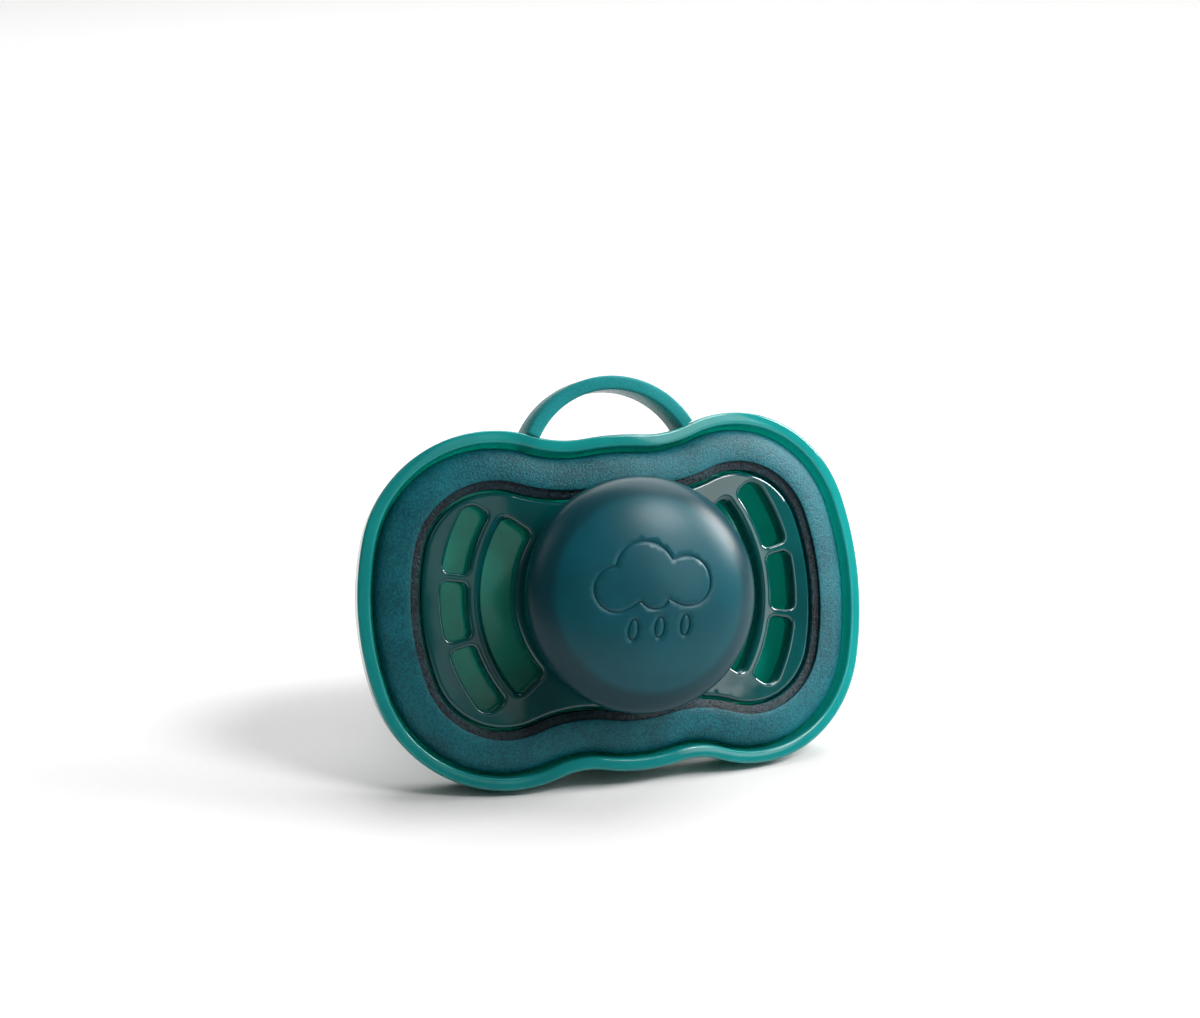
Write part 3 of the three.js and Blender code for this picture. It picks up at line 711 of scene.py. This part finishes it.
def wall_profile():
    """The tray's wall as insets and depths, from the floor's outer face over the rim to its inner face."""
    corner_depth = TRAY_DEPTH - FLOOR_ROUND
    corner_inset = wall_inset(corner_depth, FLOOR_ROUND)
    profile = arc_points((corner_inset, corner_depth), (FLOOR_ROUND,) * 2, 90, 180, 8)
    profile += [(wall_inset(depth, 0.0), depth) for depth in (3.0, 2.0, 1.0)]
    outer_lip = (RIM_OUTER_ROUND + RIM_LEAN, RIM_OUTER_ROUND)
    profile += arc_points(outer_lip, (RIM_OUTER_ROUND,) * 2, 180, 270, 5)
    inner_lip = (TRAY_WALL - RIM_INNER_ROUND + RIM_LEAN, RIM_INNER_ROUND)
    profile += arc_points(inner_lip, (RIM_INNER_ROUND,) * 2, 270, 360, 5)
    profile += [(wall_inset(depth, TRAY_WALL), depth) for depth in (1.0, 2.0, 3.0)]
    corner_depth = floor_depth - FLOOR_CORNER
    corner_inset = wall_inset(corner_depth, TRAY_WALL) + FLOOR_CORNER
    return profile + arc_points((corner_inset, corner_depth), (FLOOR_CORNER,) * 2, 180, 90, 5)


def build_tray():
    outer_dome = dome_side(DOME_RADIUS + TRAY_WALL, TRAY_DEPTH, DOME_END + TRAY_WALL, DOME_ROUND)
    inner_dome = dome_side(DOME_RADIUS, floor_depth, DOME_END, DOME_ROUND - TRAY_WALL)
    rings = [outline_ring(inset, depth) for inset, depth in wall_profile()]
    shares = (0.33, 0.67)
    outer_floor = [between(outer_dome[-1], rings[0], share, TRAY_DEPTH) for share in shares]
    inner_floor = [between(rings[-1], inner_dome[-1], share, floor_depth) for share in shares]
    every = outer_dome + outer_floor + rings + inner_floor + inner_dome[::-1]
    skin = Skin()
    first = skin.ring(every[0])
    skin.fan(first, (0.0, DOME_END + TRAY_WALL, 0.0))
    last = skin.run(first, every[1:])
    skin.fan(last, (0.0, DOME_END, 0.0))
    return skin.piece("case_tray_shell", [CASE_FINISH])


tray = build_tray()
finished(tray, "case", "case", "case_tray")

# ---- Carrying loop -----------------------------------------------------------------------------------


def new_tree(name, inputs):
    """An empty Geometry Nodes tree with these named number inputs."""
    tree = bpy.data.node_groups.new(name, "GeometryNodeTree")
    tree.interface.new_socket("Geometry", in_out="OUTPUT", socket_type="NodeSocketGeometry")
    for label, value in inputs.items():
        socket = tree.interface.new_socket(label, in_out="INPUT", socket_type="NodeSocketFloat")
        socket.default_value = value
    return tree


def loop_tree():
    """An arch swept along half a circle, with a rounded oblong section."""
    inputs = {"Radius": 0.01, "Band": 0.001, "Depth": 0.004, "Edge": 0.0003, "Turn": math.pi}
    tree = new_tree("Carrying loop", inputs)
    sizes = tree.nodes.new("NodeGroupInput")
    arc = tree.nodes.new("GeometryNodeCurveArc")
    arc.mode = "RADIUS"
    arc.inputs["Resolution"].default_value = 97
    tree.links.new(sizes.outputs["Radius"], arc.inputs["Radius"])
    tree.links.new(sizes.outputs["Turn"], arc.inputs["Sweep Angle"])
    start = tree.nodes.new("ShaderNodeMath")
    start.operation = "MULTIPLY_ADD"
    tree.links.new(sizes.outputs["Turn"], start.inputs[0])
    start.inputs[1].default_value = -0.5
    start.inputs[2].default_value = math.pi / 2
    tree.links.new(start.outputs["Value"], arc.inputs["Start Angle"])
    section = tree.nodes.new("GeometryNodeCurvePrimitiveQuadrilateral")
    tree.links.new(sizes.outputs["Band"], section.inputs["Width"])
    tree.links.new(sizes.outputs["Depth"], section.inputs["Height"])
    rounding = tree.nodes.new("GeometryNodeFilletCurve")
    rounding.mode = "POLY"
    rounding.inputs["Count"].default_value = 5
    tree.links.new(section.outputs["Curve"], rounding.inputs["Curve"])
    tree.links.new(sizes.outputs["Edge"], rounding.inputs["Radius"])
    sweep = tree.nodes.new("GeometryNodeCurveToMesh")
    sweep.inputs["Fill Caps"].default_value = True
    tree.links.new(arc.outputs["Curve"], sweep.inputs["Curve"])
    tree.links.new(rounding.outputs["Curve"], sweep.inputs["Profile Curve"])
    real = tree.nodes.new("GeometryNodeRealizeInstances")
    tree.links.new(sweep.outputs["Mesh"], real.inputs["Geometry"])
    paint = tree.nodes.new("GeometryNodeSetMaterial")
    paint.inputs["Material"].default_value = LOOP_FINISH
    tree.links.new(real.outputs["Geometry"], paint.inputs["Geometry"])
    result = tree.nodes.new("NodeGroupOutput")
    tree.links.new(paint.outputs["Geometry"], result.inputs["Geometry"])
    return tree


def grown(name, tree, values):
    """The plain mesh that a tree makes from these values."""
    seed = bpy.data.objects.new(name + "_seed", bpy.data.meshes.new(name + "_seed"))
    bpy.context.scene.collection.objects.link(seed)
    modifier = seed.modifiers.new("grow", "NODES")
    modifier.node_group = tree
    for item in tree.interface.items_tree:
        if item.in_out == "INPUT" and item.name in values:
            modifier[item.identifier] = values[item.name]
    shape = bpy.data.meshes.new_from_object(seed.evaluated_get(bpy.context.evaluated_depsgraph_get()))
    bpy.data.objects.remove(seed)
    return shape


LOOP_FINISH = clear_teal(
    "loop_teal", dark=(0.012, 0.18, 0.19), light=(0.02, 0.25, 0.26), glow=(0.02, 0.2, 0.18),
    roughness=0.25, transmission=0.1, glow_share=0.1, gloss=0.15, ior=1.2)


def build_loop():
    middle = LOOP_RADIUS - LOOP_BAND / 2
    centre_z = top_middle + LOOP_RISE - LOOP_RADIUS
    sizes = {
        "Radius": middle * MM,
        "Band": LOOP_BAND * MM,
        "Depth": LOOP_DEPTH * MM,
        "Edge": LOOP_EDGE * MM,
        "Turn": math.radians(LOOP_TURN),
    }
    shape = grown("carry_loop_arch", loop_tree(), sizes)
    spots = np.array([v.co for v in shape.vertices]) / MM
    middle_depth = LOOP_SETBACK + LOOP_DEPTH / 2
    upright = np.stack([spots[:, 0], middle_depth + spots[:, 2], centre_z + spots[:, 1]], 1)
    faces = [tuple(p.vertices) for p in shape.polygons]
    piece = make_piece("carry_loop_arch", upright, faces)
    piece.data.materials.append(LOOP_FINISH)
    turn_outward(piece)
    return piece


loop = build_loop()
finished(loop, "case", "case", "carry_loop")

# ---- Shield ring -------------------------------------------------------------------------------------


def build_ring():
    back = STEP_DEPTH + RING_THICKNESS
    crown = []
    for angle in np.radians(np.linspace(180, 262, 23)):
        across, rise = abs(math.cos(angle)) ** CROWN_FLATNESS, abs(math.sin(angle)) ** CROWN_FLATNESS
        crown.append((crown_inset - RING_WIDTH * across, SHIELD_EDGE_DEPTH * (1 - rise)))
    lip = arc_points((crown_inset - RING_LIP, RING_LIP + RING_LIP_SINK), (RING_LIP,) * 2, 280, 360, 4)
    foot = arc_points((crown_inset + STEP_FOOT, STEP_DEPTH - STEP_FOOT), (STEP_FOOT,) * 2, 180, 90, 3)
    heel = floor_depth - GAP
    heel_inset = wall_inset(heel - HEEL_BEVEL, TRAY_WALL) + SHIELD_CLEARANCE
    under = [
        (step_inset, back),
        (crown_inset, back),
        (heel_inset + 2 * HEEL_WIDTH, heel - 0.4),
        (heel_inset + HEEL_WIDTH, heel),
        (heel_inset + 0.15, heel - 0.5),
        (heel_inset, heel - HEEL_BEVEL),
    ]
    skin = Skin()
    first = skin.ring(outline_ring(*crown[0]))
    step = foot + [(step_inset - 0.05, STEP_DEPTH), (step_inset, STEP_DEPTH + 0.05)]
    here = skin.run(first, [outline_ring(*spot) for spot in crown[1:] + lip])
    here = skin.run(here, [outline_ring(*spot) for spot in step], 1)
    here = skin.run(here, [outline_ring(*spot) for spot in under])
    skin.bridge(here, first)
    return skin.piece("shield_ring_frosted", [RING_FINISH, BAND_FINISH])


ring = build_ring()
finished(ring, "pacifier", "frosted_ring", "shield_ring")

# ---- Shield panel ------------------------------------------------------------------------------------


def vent_outline(inner, outer, start, end, corners, step=0.16):
    """A rounded opening between two radii and two angles, anticlockwise, with its outward normals.
    The corner radii are for inner start, outer start, outer end and inner end."""
    middle = (inner + outer) / 2
    first_side, last_side = math.radians(start) * middle, math.radians(end) * middle
    inner_start, outer_start, outer_end, inner_end = corners
    plan = [
        ((first_side + inner_start, inner + inner_start), inner_start, 180),
        ((last_side - inner_end, inner + inner_end), inner_end, 270),
        ((last_side - outer_end, outer - outer_end), outer_end, 0),
        ((first_side + outer_start, outer - outer_start), outer_start, 90),
    ]
    path = []
    for centre, corner, first in plan:
        path += arc_points(centre, (corner, corner), first, first + 90, 8)
    closed = np.array(path + path[:1])
    lengths = np.linalg.norm(np.diff(closed, axis=0), axis=1)
    along = np.concatenate([[0], np.cumsum(lengths)])
    spots = np.linspace(0, along[-1], int(along[-1] / step), endpoint=False)
    side = np.interp(spots, along, closed[:, 0])
    radius = np.interp(spots, along, closed[:, 1])
    flat = np.stack([radius * np.cos(side / middle), radius * np.sin(side / middle)], 1)
    normal = path_normals(flat)
    twice_area = np.sum(flat[:, 0] * np.roll(flat[:, 1], -1) - np.roll(flat[:, 0], -1) * flat[:, 1])
    return flat, normal if twice_area > 0 else -normal


def vent_rings(flat, normal, rounding):
    """Rings of an opening's wall, from the panel's front over its rounded edge to the back."""
    rings = [bowed_ring(flat + normal * (rounding + APRON)[:, None], panel_front)]
    for angle in np.linspace(0, math.pi / 2, 7):
        spread = rounding * (1 - math.sin(angle))
        depth = panel_front + rounding * (1 - math.cos(angle))
        rings.append(bowed_ring(flat + normal * spread[:, None], depth))
    for spread_share, depth_share in ((0.0, 1.0), (0.3, 0.3), (1.0, 0.0)):
        spread, depth = VENT_BACK_ROUND * spread_share, panel_back - VENT_BACK_ROUND * depth_share
        rings.append(bowed_ring(flat + normal * spread, depth))
    return rings


def all_vents():
    """Every opening of both sides: its outline, normals and the rounding of its front edge."""
    vent_outer = CASE_WIDTH / 2 - panel_inset - VENT_MARGIN
    vent_inner = vent_outer - VENT_WIDTH
    slot_outer = vent_inner - VENT_RIB
    slot_inner = slot_outer - SLOT_WIDTH
    small, large = VENT_CORNER, ROW_END_CORNER
    plan = [
        (slot_inner, slot_outer, -SLOT_END, SLOT_END, (SLOT_CORNER,) * 4),
        (vent_inner, vent_outer, -ROW_MIDDLE, ROW_MIDDLE, (small, small, small, small)),
        (vent_inner, vent_outer, ROW_START, ROW_END, (small, small, large, small)),
        (vent_inner, vent_outer, -ROW_END, -ROW_START, (small, large, small, small)),
    ]
    mirror = np.array([-1.0, 1.0])
    vents = []
    for inner, outer, start, end, corners in plan:
        flat, normal = vent_outline(inner, outer, start, end, corners)
        radius = np.linalg.norm(flat, axis=1)
        away = np.sum(flat * normal, axis=1) / radius
        broad = np.clip(away, 0, 1) ** 2 if inner == slot_inner else np.zeros(len(flat))
        rounding = VENT_ROUND + SLOT_EXTRA_ROUND * broad
        vents.append((flat, normal, rounding))
        vents.append((flat[::-1] * mirror, normal[::-1] * mirror, rounding[::-1]))
    return vents


def boss_rings():
    """Rings from the boss's foot on the panel's front, through the bore, to the collar's foot behind."""
    count = 144
    foot_radius = boss_radius + BOSS_FOOT_ROUND
    collar_radius = bore_radius + COLLAR_WALL
    collar_back = panel_back + COLLAR_HEIGHT
    foot_centre = (foot_radius, panel_front - BOSS_FOOT_ROUND)
    profile = arc_points(foot_centre, (BOSS_FOOT_ROUND,) * 2, 90, 180, 4)[1:]
    profile += [
        (boss_radius, boss_front + BOSS_ROUND),
        (boss_radius - BOSS_ROUND, boss_front),
        (counterbore_radius, boss_front),
        (counterbore_radius, flange_back + GAP),
        (bore_radius, flange_back + GAP),
        (bore_radius, collar_back),
        (collar_radius - BOSS_ROUND, collar_back),
        (collar_radius, collar_back - BOSS_ROUND),
    ]
    rings = [circle_ring(foot_radius + extra, panel_front, True, count) for extra in (APRON, 0.0)]
    rings += [circle_ring(radius, depth, False, count) for radius, depth in profile]
    return rings + [circle_ring(collar_radius, panel_back, True, count)]


def build_panel():
    skin = Skin()
    first = skin.ring(outline_ring(panel_inset + PANEL_BACK_ROUND, panel_back))
    round_inset, round_depth = panel_inset + PANEL_ROUND, panel_front + PANEL_ROUND
    side = [(panel_inset, panel_back - PANEL_BACK_ROUND), (panel_inset, round_depth)]
    side += arc_points((round_inset, round_depth), (PANEL_ROUND,) * 2, 180, 270, 6)[1:]
    side.append((round_inset + APRON, panel_front))
    front_edge = skin.run(first, [outline_ring(*spot) for spot in side])
    boss = boss_rings()
    boss_foot = skin.ring(boss[0])
    collar_foot = skin.run(boss_foot, boss[1:])
    front_holes, back_holes = [boss_foot], [collar_foot]
    for flat, normal, rounding in all_vents():
        rings = vent_rings(flat, normal, rounding)
        start = skin.ring(rings[0])
        front_holes.append(start)
        back_holes.append(skin.run(start, rings[1:]))
    skin.sheet(front_edge, front_holes, lambda x, z: panel_front + bow(x), 0.5)
    skin.sheet(first, back_holes, lambda x, z: panel_back + bow(x), 0.9)
    return skin.piece("shield_panel_clear", [PANEL_FINISH])


panel = build_panel()
finished(panel, "pacifier", "clear_panel", "shield_panel")

# ---- Knob --------------------------------------------------------------------------------------------


def knob_depth(x, z):
    """Depth of the knob's outer face, negative because it is in front of the rim's edge."""
    share = np.clip(1 - (np.asarray(x) ** 2 + np.asarray(z) ** 2) / KNOB_RADIUS**2, 0, 1)
    return -KNOB_EQUATOR - KNOB_DOME * np.sqrt(share)


def cloud_path(count=300):
    """A closed line round the puffs, with a flat base."""
    centre = np.array(CLOUD_CENTRE)
    angles = 2 * math.pi * np.arange(count) / count
    directions = np.stack([np.cos(angles), np.sin(angles)], 1)
    reach = np.zeros(count)
    for spot, radius in CLOUD_PUFFS:
        offset = np.array(spot) - centre
        along = directions @ offset
        inner = radius**2 - (offset @ offset - along**2)
        reach = np.maximum(reach, np.where(inner > 0, along + np.sqrt(np.maximum(inner, 0)), 0))
    downward = np.maximum(-directions[:, 1], 1e-6)
    base = np.where(directions[:, 1] < 0, (centre[1] + CLOUD_BASE) / downward, np.inf)
    reach = np.minimum(reach, base)
    for _ in range(6):
        reach = (np.roll(reach, 1) + 2 * reach + np.roll(reach, -1)) / 4
    return centre + directions * reach[:, None]


def drop_path(place_on_face, count=60):
    """A closed line round one slanting raindrop."""
    angles = 2 * math.pi * np.arange(count) / count
    flat = np.stack([DROP_SIZE[0] * np.cos(angles), DROP_SIZE[1] * np.sin(angles)], 1)
    tilt = math.radians(DROP_TILT)
    turn = np.array([[math.cos(tilt), -math.sin(tilt)], [math.sin(tilt), math.cos(tilt)]])
    return flat @ turn.T + np.array(place_on_face)


def groove_rings(path):
    """Rings from one edge of a groove along the path, through its bottom, to the other edge."""
    normal = path_normals(path)
    rings = []
    for offset, sink in GROOVE_PROFILE:
        flat = path + normal * offset * GROOVE_HALF_WIDTH
        depth = knob_depth(flat[:, 0], flat[:, 1]) + sink * GROOVE_DEPTH
        rings.append(np.stack([flat[:, 0], depth, flat[:, 1]], 1))
    return rings


def build_cap():
    count = 180
    spacing = 0.45
    skin = Skin()
    face_depth = float(knob_depth(KNOB_FACE_RADIUS, 0.0))
    face_edge = skin.ring(circle_ring(KNOB_FACE_RADIUS, face_depth, False, count))
    holes = []
    for path in [cloud_path()] + [drop_path(spot) for spot in DROP_PLACES]:
        rings = groove_rings(path)
        start = skin.ring(rings[0])
        holes.append(start)
        inner = skin.run(start, rings[1:])
        skin.sheet(inner, [], knob_depth, spacing)
    skin.sheet(face_edge, holes, knob_depth, spacing)
    skirt_depth = KNOB_EQUATOR + knob_back
    rise = math.degrees(math.acos(KNOB_FACE_RADIUS / KNOB_RADIUS))
    profile = arc_points((0.0, -KNOB_EQUATOR), (KNOB_RADIUS, KNOB_DOME), 360 - rise, 360, 16)[1:]
    profile += arc_points((skirt_radius, -KNOB_EQUATOR), (KNOB_TUCK, skirt_depth), 0, 84, 12)[1:]
    profile += [(skirt_radius - 0.1, knob_back), (mouth_radius, knob_back)]
    profile += [(mouth_radius, knob_back - KNOB_BASE_THICKNESS - GAP)]
    inner_size = (KNOB_RADIUS - KNOB_WALL, KNOB_DOME - KNOB_WALL)
    profile += arc_points((0.0, -KNOB_EQUATOR), inner_size, 360, 273, 22)
    rings = [circle_ring(radius, depth, False, count) for radius, depth in profile]
    last = skin.run(face_edge, rings)
    skin.fan(last, (0.0, -KNOB_EQUATOR - inner_size[1], 0.0))
    return skin.piece("knob_cap_satin", [KNOB_FINISH])


cap = build_cap()
finished(cap, "pacifier", "knob", "knob_cap")


def turned_piece(name, profile, material, count=96):
    """A solid turned about the axis, from a profile that starts and ends on the axis."""
    skin = Skin()
    first = skin.ring(circle_ring(*profile[1], False, count))
    skin.fan(first, (0.0, profile[0][1], 0.0))
    last = skin.run(first, [circle_ring(radius, depth, False, count) for radius, depth in profile[2:-1]])
    skin.fan(last, (0.0, profile[-1][1], 0.0))
    return skin.piece(name, [material])


def build_base():
    base_radius = mouth_radius - GAP
    press_radius = flange_radius - GAP
    press_front = flange_front - GAP
    plug_radius = neck_bore - GAP
    bore = plug_radius - PLUG_WALL
    bore_front = knob_back + PLUG_WALL
    front = knob_back - KNOB_BASE_THICKNESS
    soft = 0.15
    profile = [
        (0.0, front),
        (base_radius - soft, front),
        (base_radius, front + soft),
        (base_radius, knob_back - soft),
        (base_radius - soft, knob_back),
        (press_radius, knob_back),
        (press_radius, press_front),
        (plug_radius, press_front),
        (plug_radius, PLUG_LENGTH - soft),
        (plug_radius - soft, PLUG_LENGTH),
        (bore + soft, PLUG_LENGTH),
        (bore, PLUG_LENGTH - soft),
        (bore, bore_front + soft),
        (bore - soft, bore_front),
        (0.0, bore_front),
    ]
    return turned_piece("knob_base_plug", profile, PLUG_FINISH)


base = build_base()
finished(base, "pacifier", "knob", "knob_base")

# ---- Teat --------------------------------------------------------------------------------------------


def teat_lift(depth):
    """How far the bulb's middle lies above the axis, which makes one side of it flatter."""
    share = min(max((depth - NECK_LENGTH) / (TEAT_LENGTH - NECK_LENGTH), 0.0), 1.0)
    return BULB_LIFT * share * share * (3 - 2 * share)


def oval_ring(half_width, half_height, depth, lifted=True, count=96):
    angles = 2 * math.pi * np.arange(count) / count
    lift = teat_lift(depth) if lifted else 0.0
    x = half_width * np.cos(angles)
    return np.stack([x, depth + 0.0 * x, lift + half_height * np.sin(angles)], 1)


def bulb_side(thickness):
    """Rings of the teat's skin from the end of the neck to near the tip, that far inside the outer face."""
    rings = []
    stations = [
        (NECK_LENGTH, NECK_RADIUS, NECK_RADIUS),
        (WAIST_DEPTH, WAIST_RADIUS, WAIST_RADIUS),
        (BULB_DEPTH, BULB_HALF_WIDTH, BULB_HALF_HEIGHT),
    ]
    for here, there in zip(stations, stations[1:]):
        for share in np.linspace(0, 1, 13)[1:]:
            ease = (1 - math.cos(math.pi * share)) / 2
            depth = here[0] + (there[0] - here[0]) * share
            width = here[1] + (there[1] - here[1]) * ease - thickness
            height = here[2] + (there[2] - here[2]) * ease - thickness
            rings.append(oval_ring(width, height, depth))
    nose = TEAT_LENGTH - BULB_DEPTH - thickness
    for angle in np.radians(np.linspace(0, 88, 18)[1:]):
        shrink = math.cos(angle)
        width, height = (BULB_HALF_WIDTH - thickness) * shrink, (BULB_HALF_HEIGHT - thickness) * shrink
        rings.append(oval_ring(width, height, BULB_DEPTH + nose * math.sin(angle)))
    return rings


def build_teat():
    outer, inner = bulb_side(0.0), bulb_side(TEAT_WALL)
    soft = 0.12
    fillet = 0.2
    neck = [
        (NECK_RADIUS, NECK_LENGTH),
        (NECK_RADIUS, flange_back + fillet),
        (NECK_RADIUS + fillet, flange_back),
        (flange_radius - soft, flange_back),
        (flange_radius, flange_back - soft),
        (flange_radius, flange_front + soft),
        (flange_radius - soft, flange_front),
        (neck_bore, flange_front),
        (neck_bore, NECK_LENGTH),
    ]
    middle = [oval_ring(radius, radius, depth, False) for radius, depth in neck]
    rings = outer[::-1] + middle + inner
    skin = Skin()
    first = skin.ring(rings[0])
    skin.fan(first, (0.0, TEAT_LENGTH, teat_lift(TEAT_LENGTH)))
    last = skin.run(first, rings[1:])
    inner_tip = TEAT_LENGTH - TEAT_WALL
    skin.fan(last, (0.0, inner_tip, teat_lift(inner_tip)))
    return skin.piece("teat_silicone_skin", [TEAT_FINISH])


teat = build_teat()
finished(teat, "pacifier", "silicone", "teat")

# ---- Table, lights and camera ------------------------------------------------------------------------


def build_table():
    mesh = bpy.data.meshes.new("table_top")
    reach = 4.0
    corners = [(-reach, -reach, 0), (reach, -reach, 0), (reach, reach, 0), (-reach, reach, 0)]
    mesh.from_pydata(corners, [], [(0, 1, 2, 3)])
    table = bpy.data.objects.new("table_top", mesh)
    bpy.context.scene.collection.objects.link(table)
    finish = Finish("table_white")
    spot = finish.node("ShaderNodeTexCoord").outputs["Object"]
    paper = finish.noise(spot, 900.0, 2.0)
    colour = finish.blend_colours(paper, (0.53, 0.525, 0.525), (0.56, 0.555, 0.555))
    normal = finish.bump(paper, 0.02, 0.0001)
    rough = finish.spread(paper, 0.0, 1.0, 0.6, 0.7)
    mesh.materials.append(finish.finish(finish.plastic(colour, rough, normal, Specular_IOR_Level=0.2)))


build_table()


def soft_light(name, azimuth, elevation, distance, width, height, power, aim=(0.0, 0.0, 0.02)):
    """A soft box aimed at a point, in degrees, metres and watts. Azimuth 0 is in front of the point, and
    it grows to the right."""
    lamp = bpy.data.lights.new(name, "AREA")
    lamp.shape = "RECTANGLE"
    lamp.size, lamp.size_y = width, height
    lamp.energy = power
    turn, rise = math.radians(azimuth), math.radians(elevation)
    way = Vector((math.sin(turn) * math.cos(rise), -math.cos(turn) * math.cos(rise), math.sin(rise)))
    holder = bpy.data.objects.new(name, lamp)
    holder.location = Vector(aim) + way * distance
    holder.rotation_euler = way.to_track_quat("Z", "Y").to_euler()
    bpy.context.scene.collection.objects.link(holder)


soft_light("low_front_right", 34, 24, 0.9, 0.3, 0.42, 1.2)
soft_light("key_front_right", 41, 48, 0.9, 0.28, 0.28, 5.5)
soft_light("card_front_left", -8, 21, 0.9, 0.2, 0.22, 0.08)
soft_light("far_table_wash", 0, 89, 0.9, 1.6, 0.8, 9.0, (0.25, 1.0, 0.0))
soft_light("top_back", 140, 60, 1.1, 1.1, 0.8, 15.0)
soft_light("side_right", 80, 28, 0.8, 0.3, 0.3, 9.0)
soft_light("fill_left", -95, 40, 1.2, 0.6, 0.6, 1.5)

world = bpy.data.worlds.new("studio")
world.use_nodes = True
world.node_tree.nodes["Background"].inputs["Color"].default_value = (1, 1, 1, 1)
world.node_tree.nodes["Background"].inputs["Strength"].default_value = 0.08
bpy.context.scene.world = world
bpy.context.scene.view_settings.view_transform = "Standard"

CAMERA_TURN = math.radians(17.607)
CAMERA_TILT = math.radians(15.53)
CAMERA_REACH = 300.0
CAMERA_RIGHT = -2.92
CAMERA_UP = 9.08
CAMERA_LENS = 85.5


def build_camera():
    sin_a, cos_a = math.sin(CAMERA_TURN), math.cos(CAMERA_TURN)
    sin_e, cos_e = math.sin(CAMERA_TILT), math.cos(CAMERA_TILT)
    forward = Vector((sin_a * cos_e, cos_a * cos_e, -sin_e))
    right = Vector((cos_a, -sin_a, 0.0))
    upward = Vector((sin_a * sin_e, cos_a * sin_e, cos_e))
    lens = bpy.data.cameras.new("camera")
    lens.lens = CAMERA_LENS
    lens.sensor_width = 36.0
    lens.clip_start = 0.01
    camera = bpy.data.objects.new("camera", lens)
    place_at = ORIGIN + (forward * -CAMERA_REACH + right * CAMERA_RIGHT + upward * CAMERA_UP) * MM
    turned = Matrix((right, upward, -forward)).transposed().to_4x4()
    camera.matrix_world = Matrix.Translation(place_at) @ turned
    bpy.context.scene.collection.objects.link(camera)
    bpy.context.scene.camera = camera


build_camera()
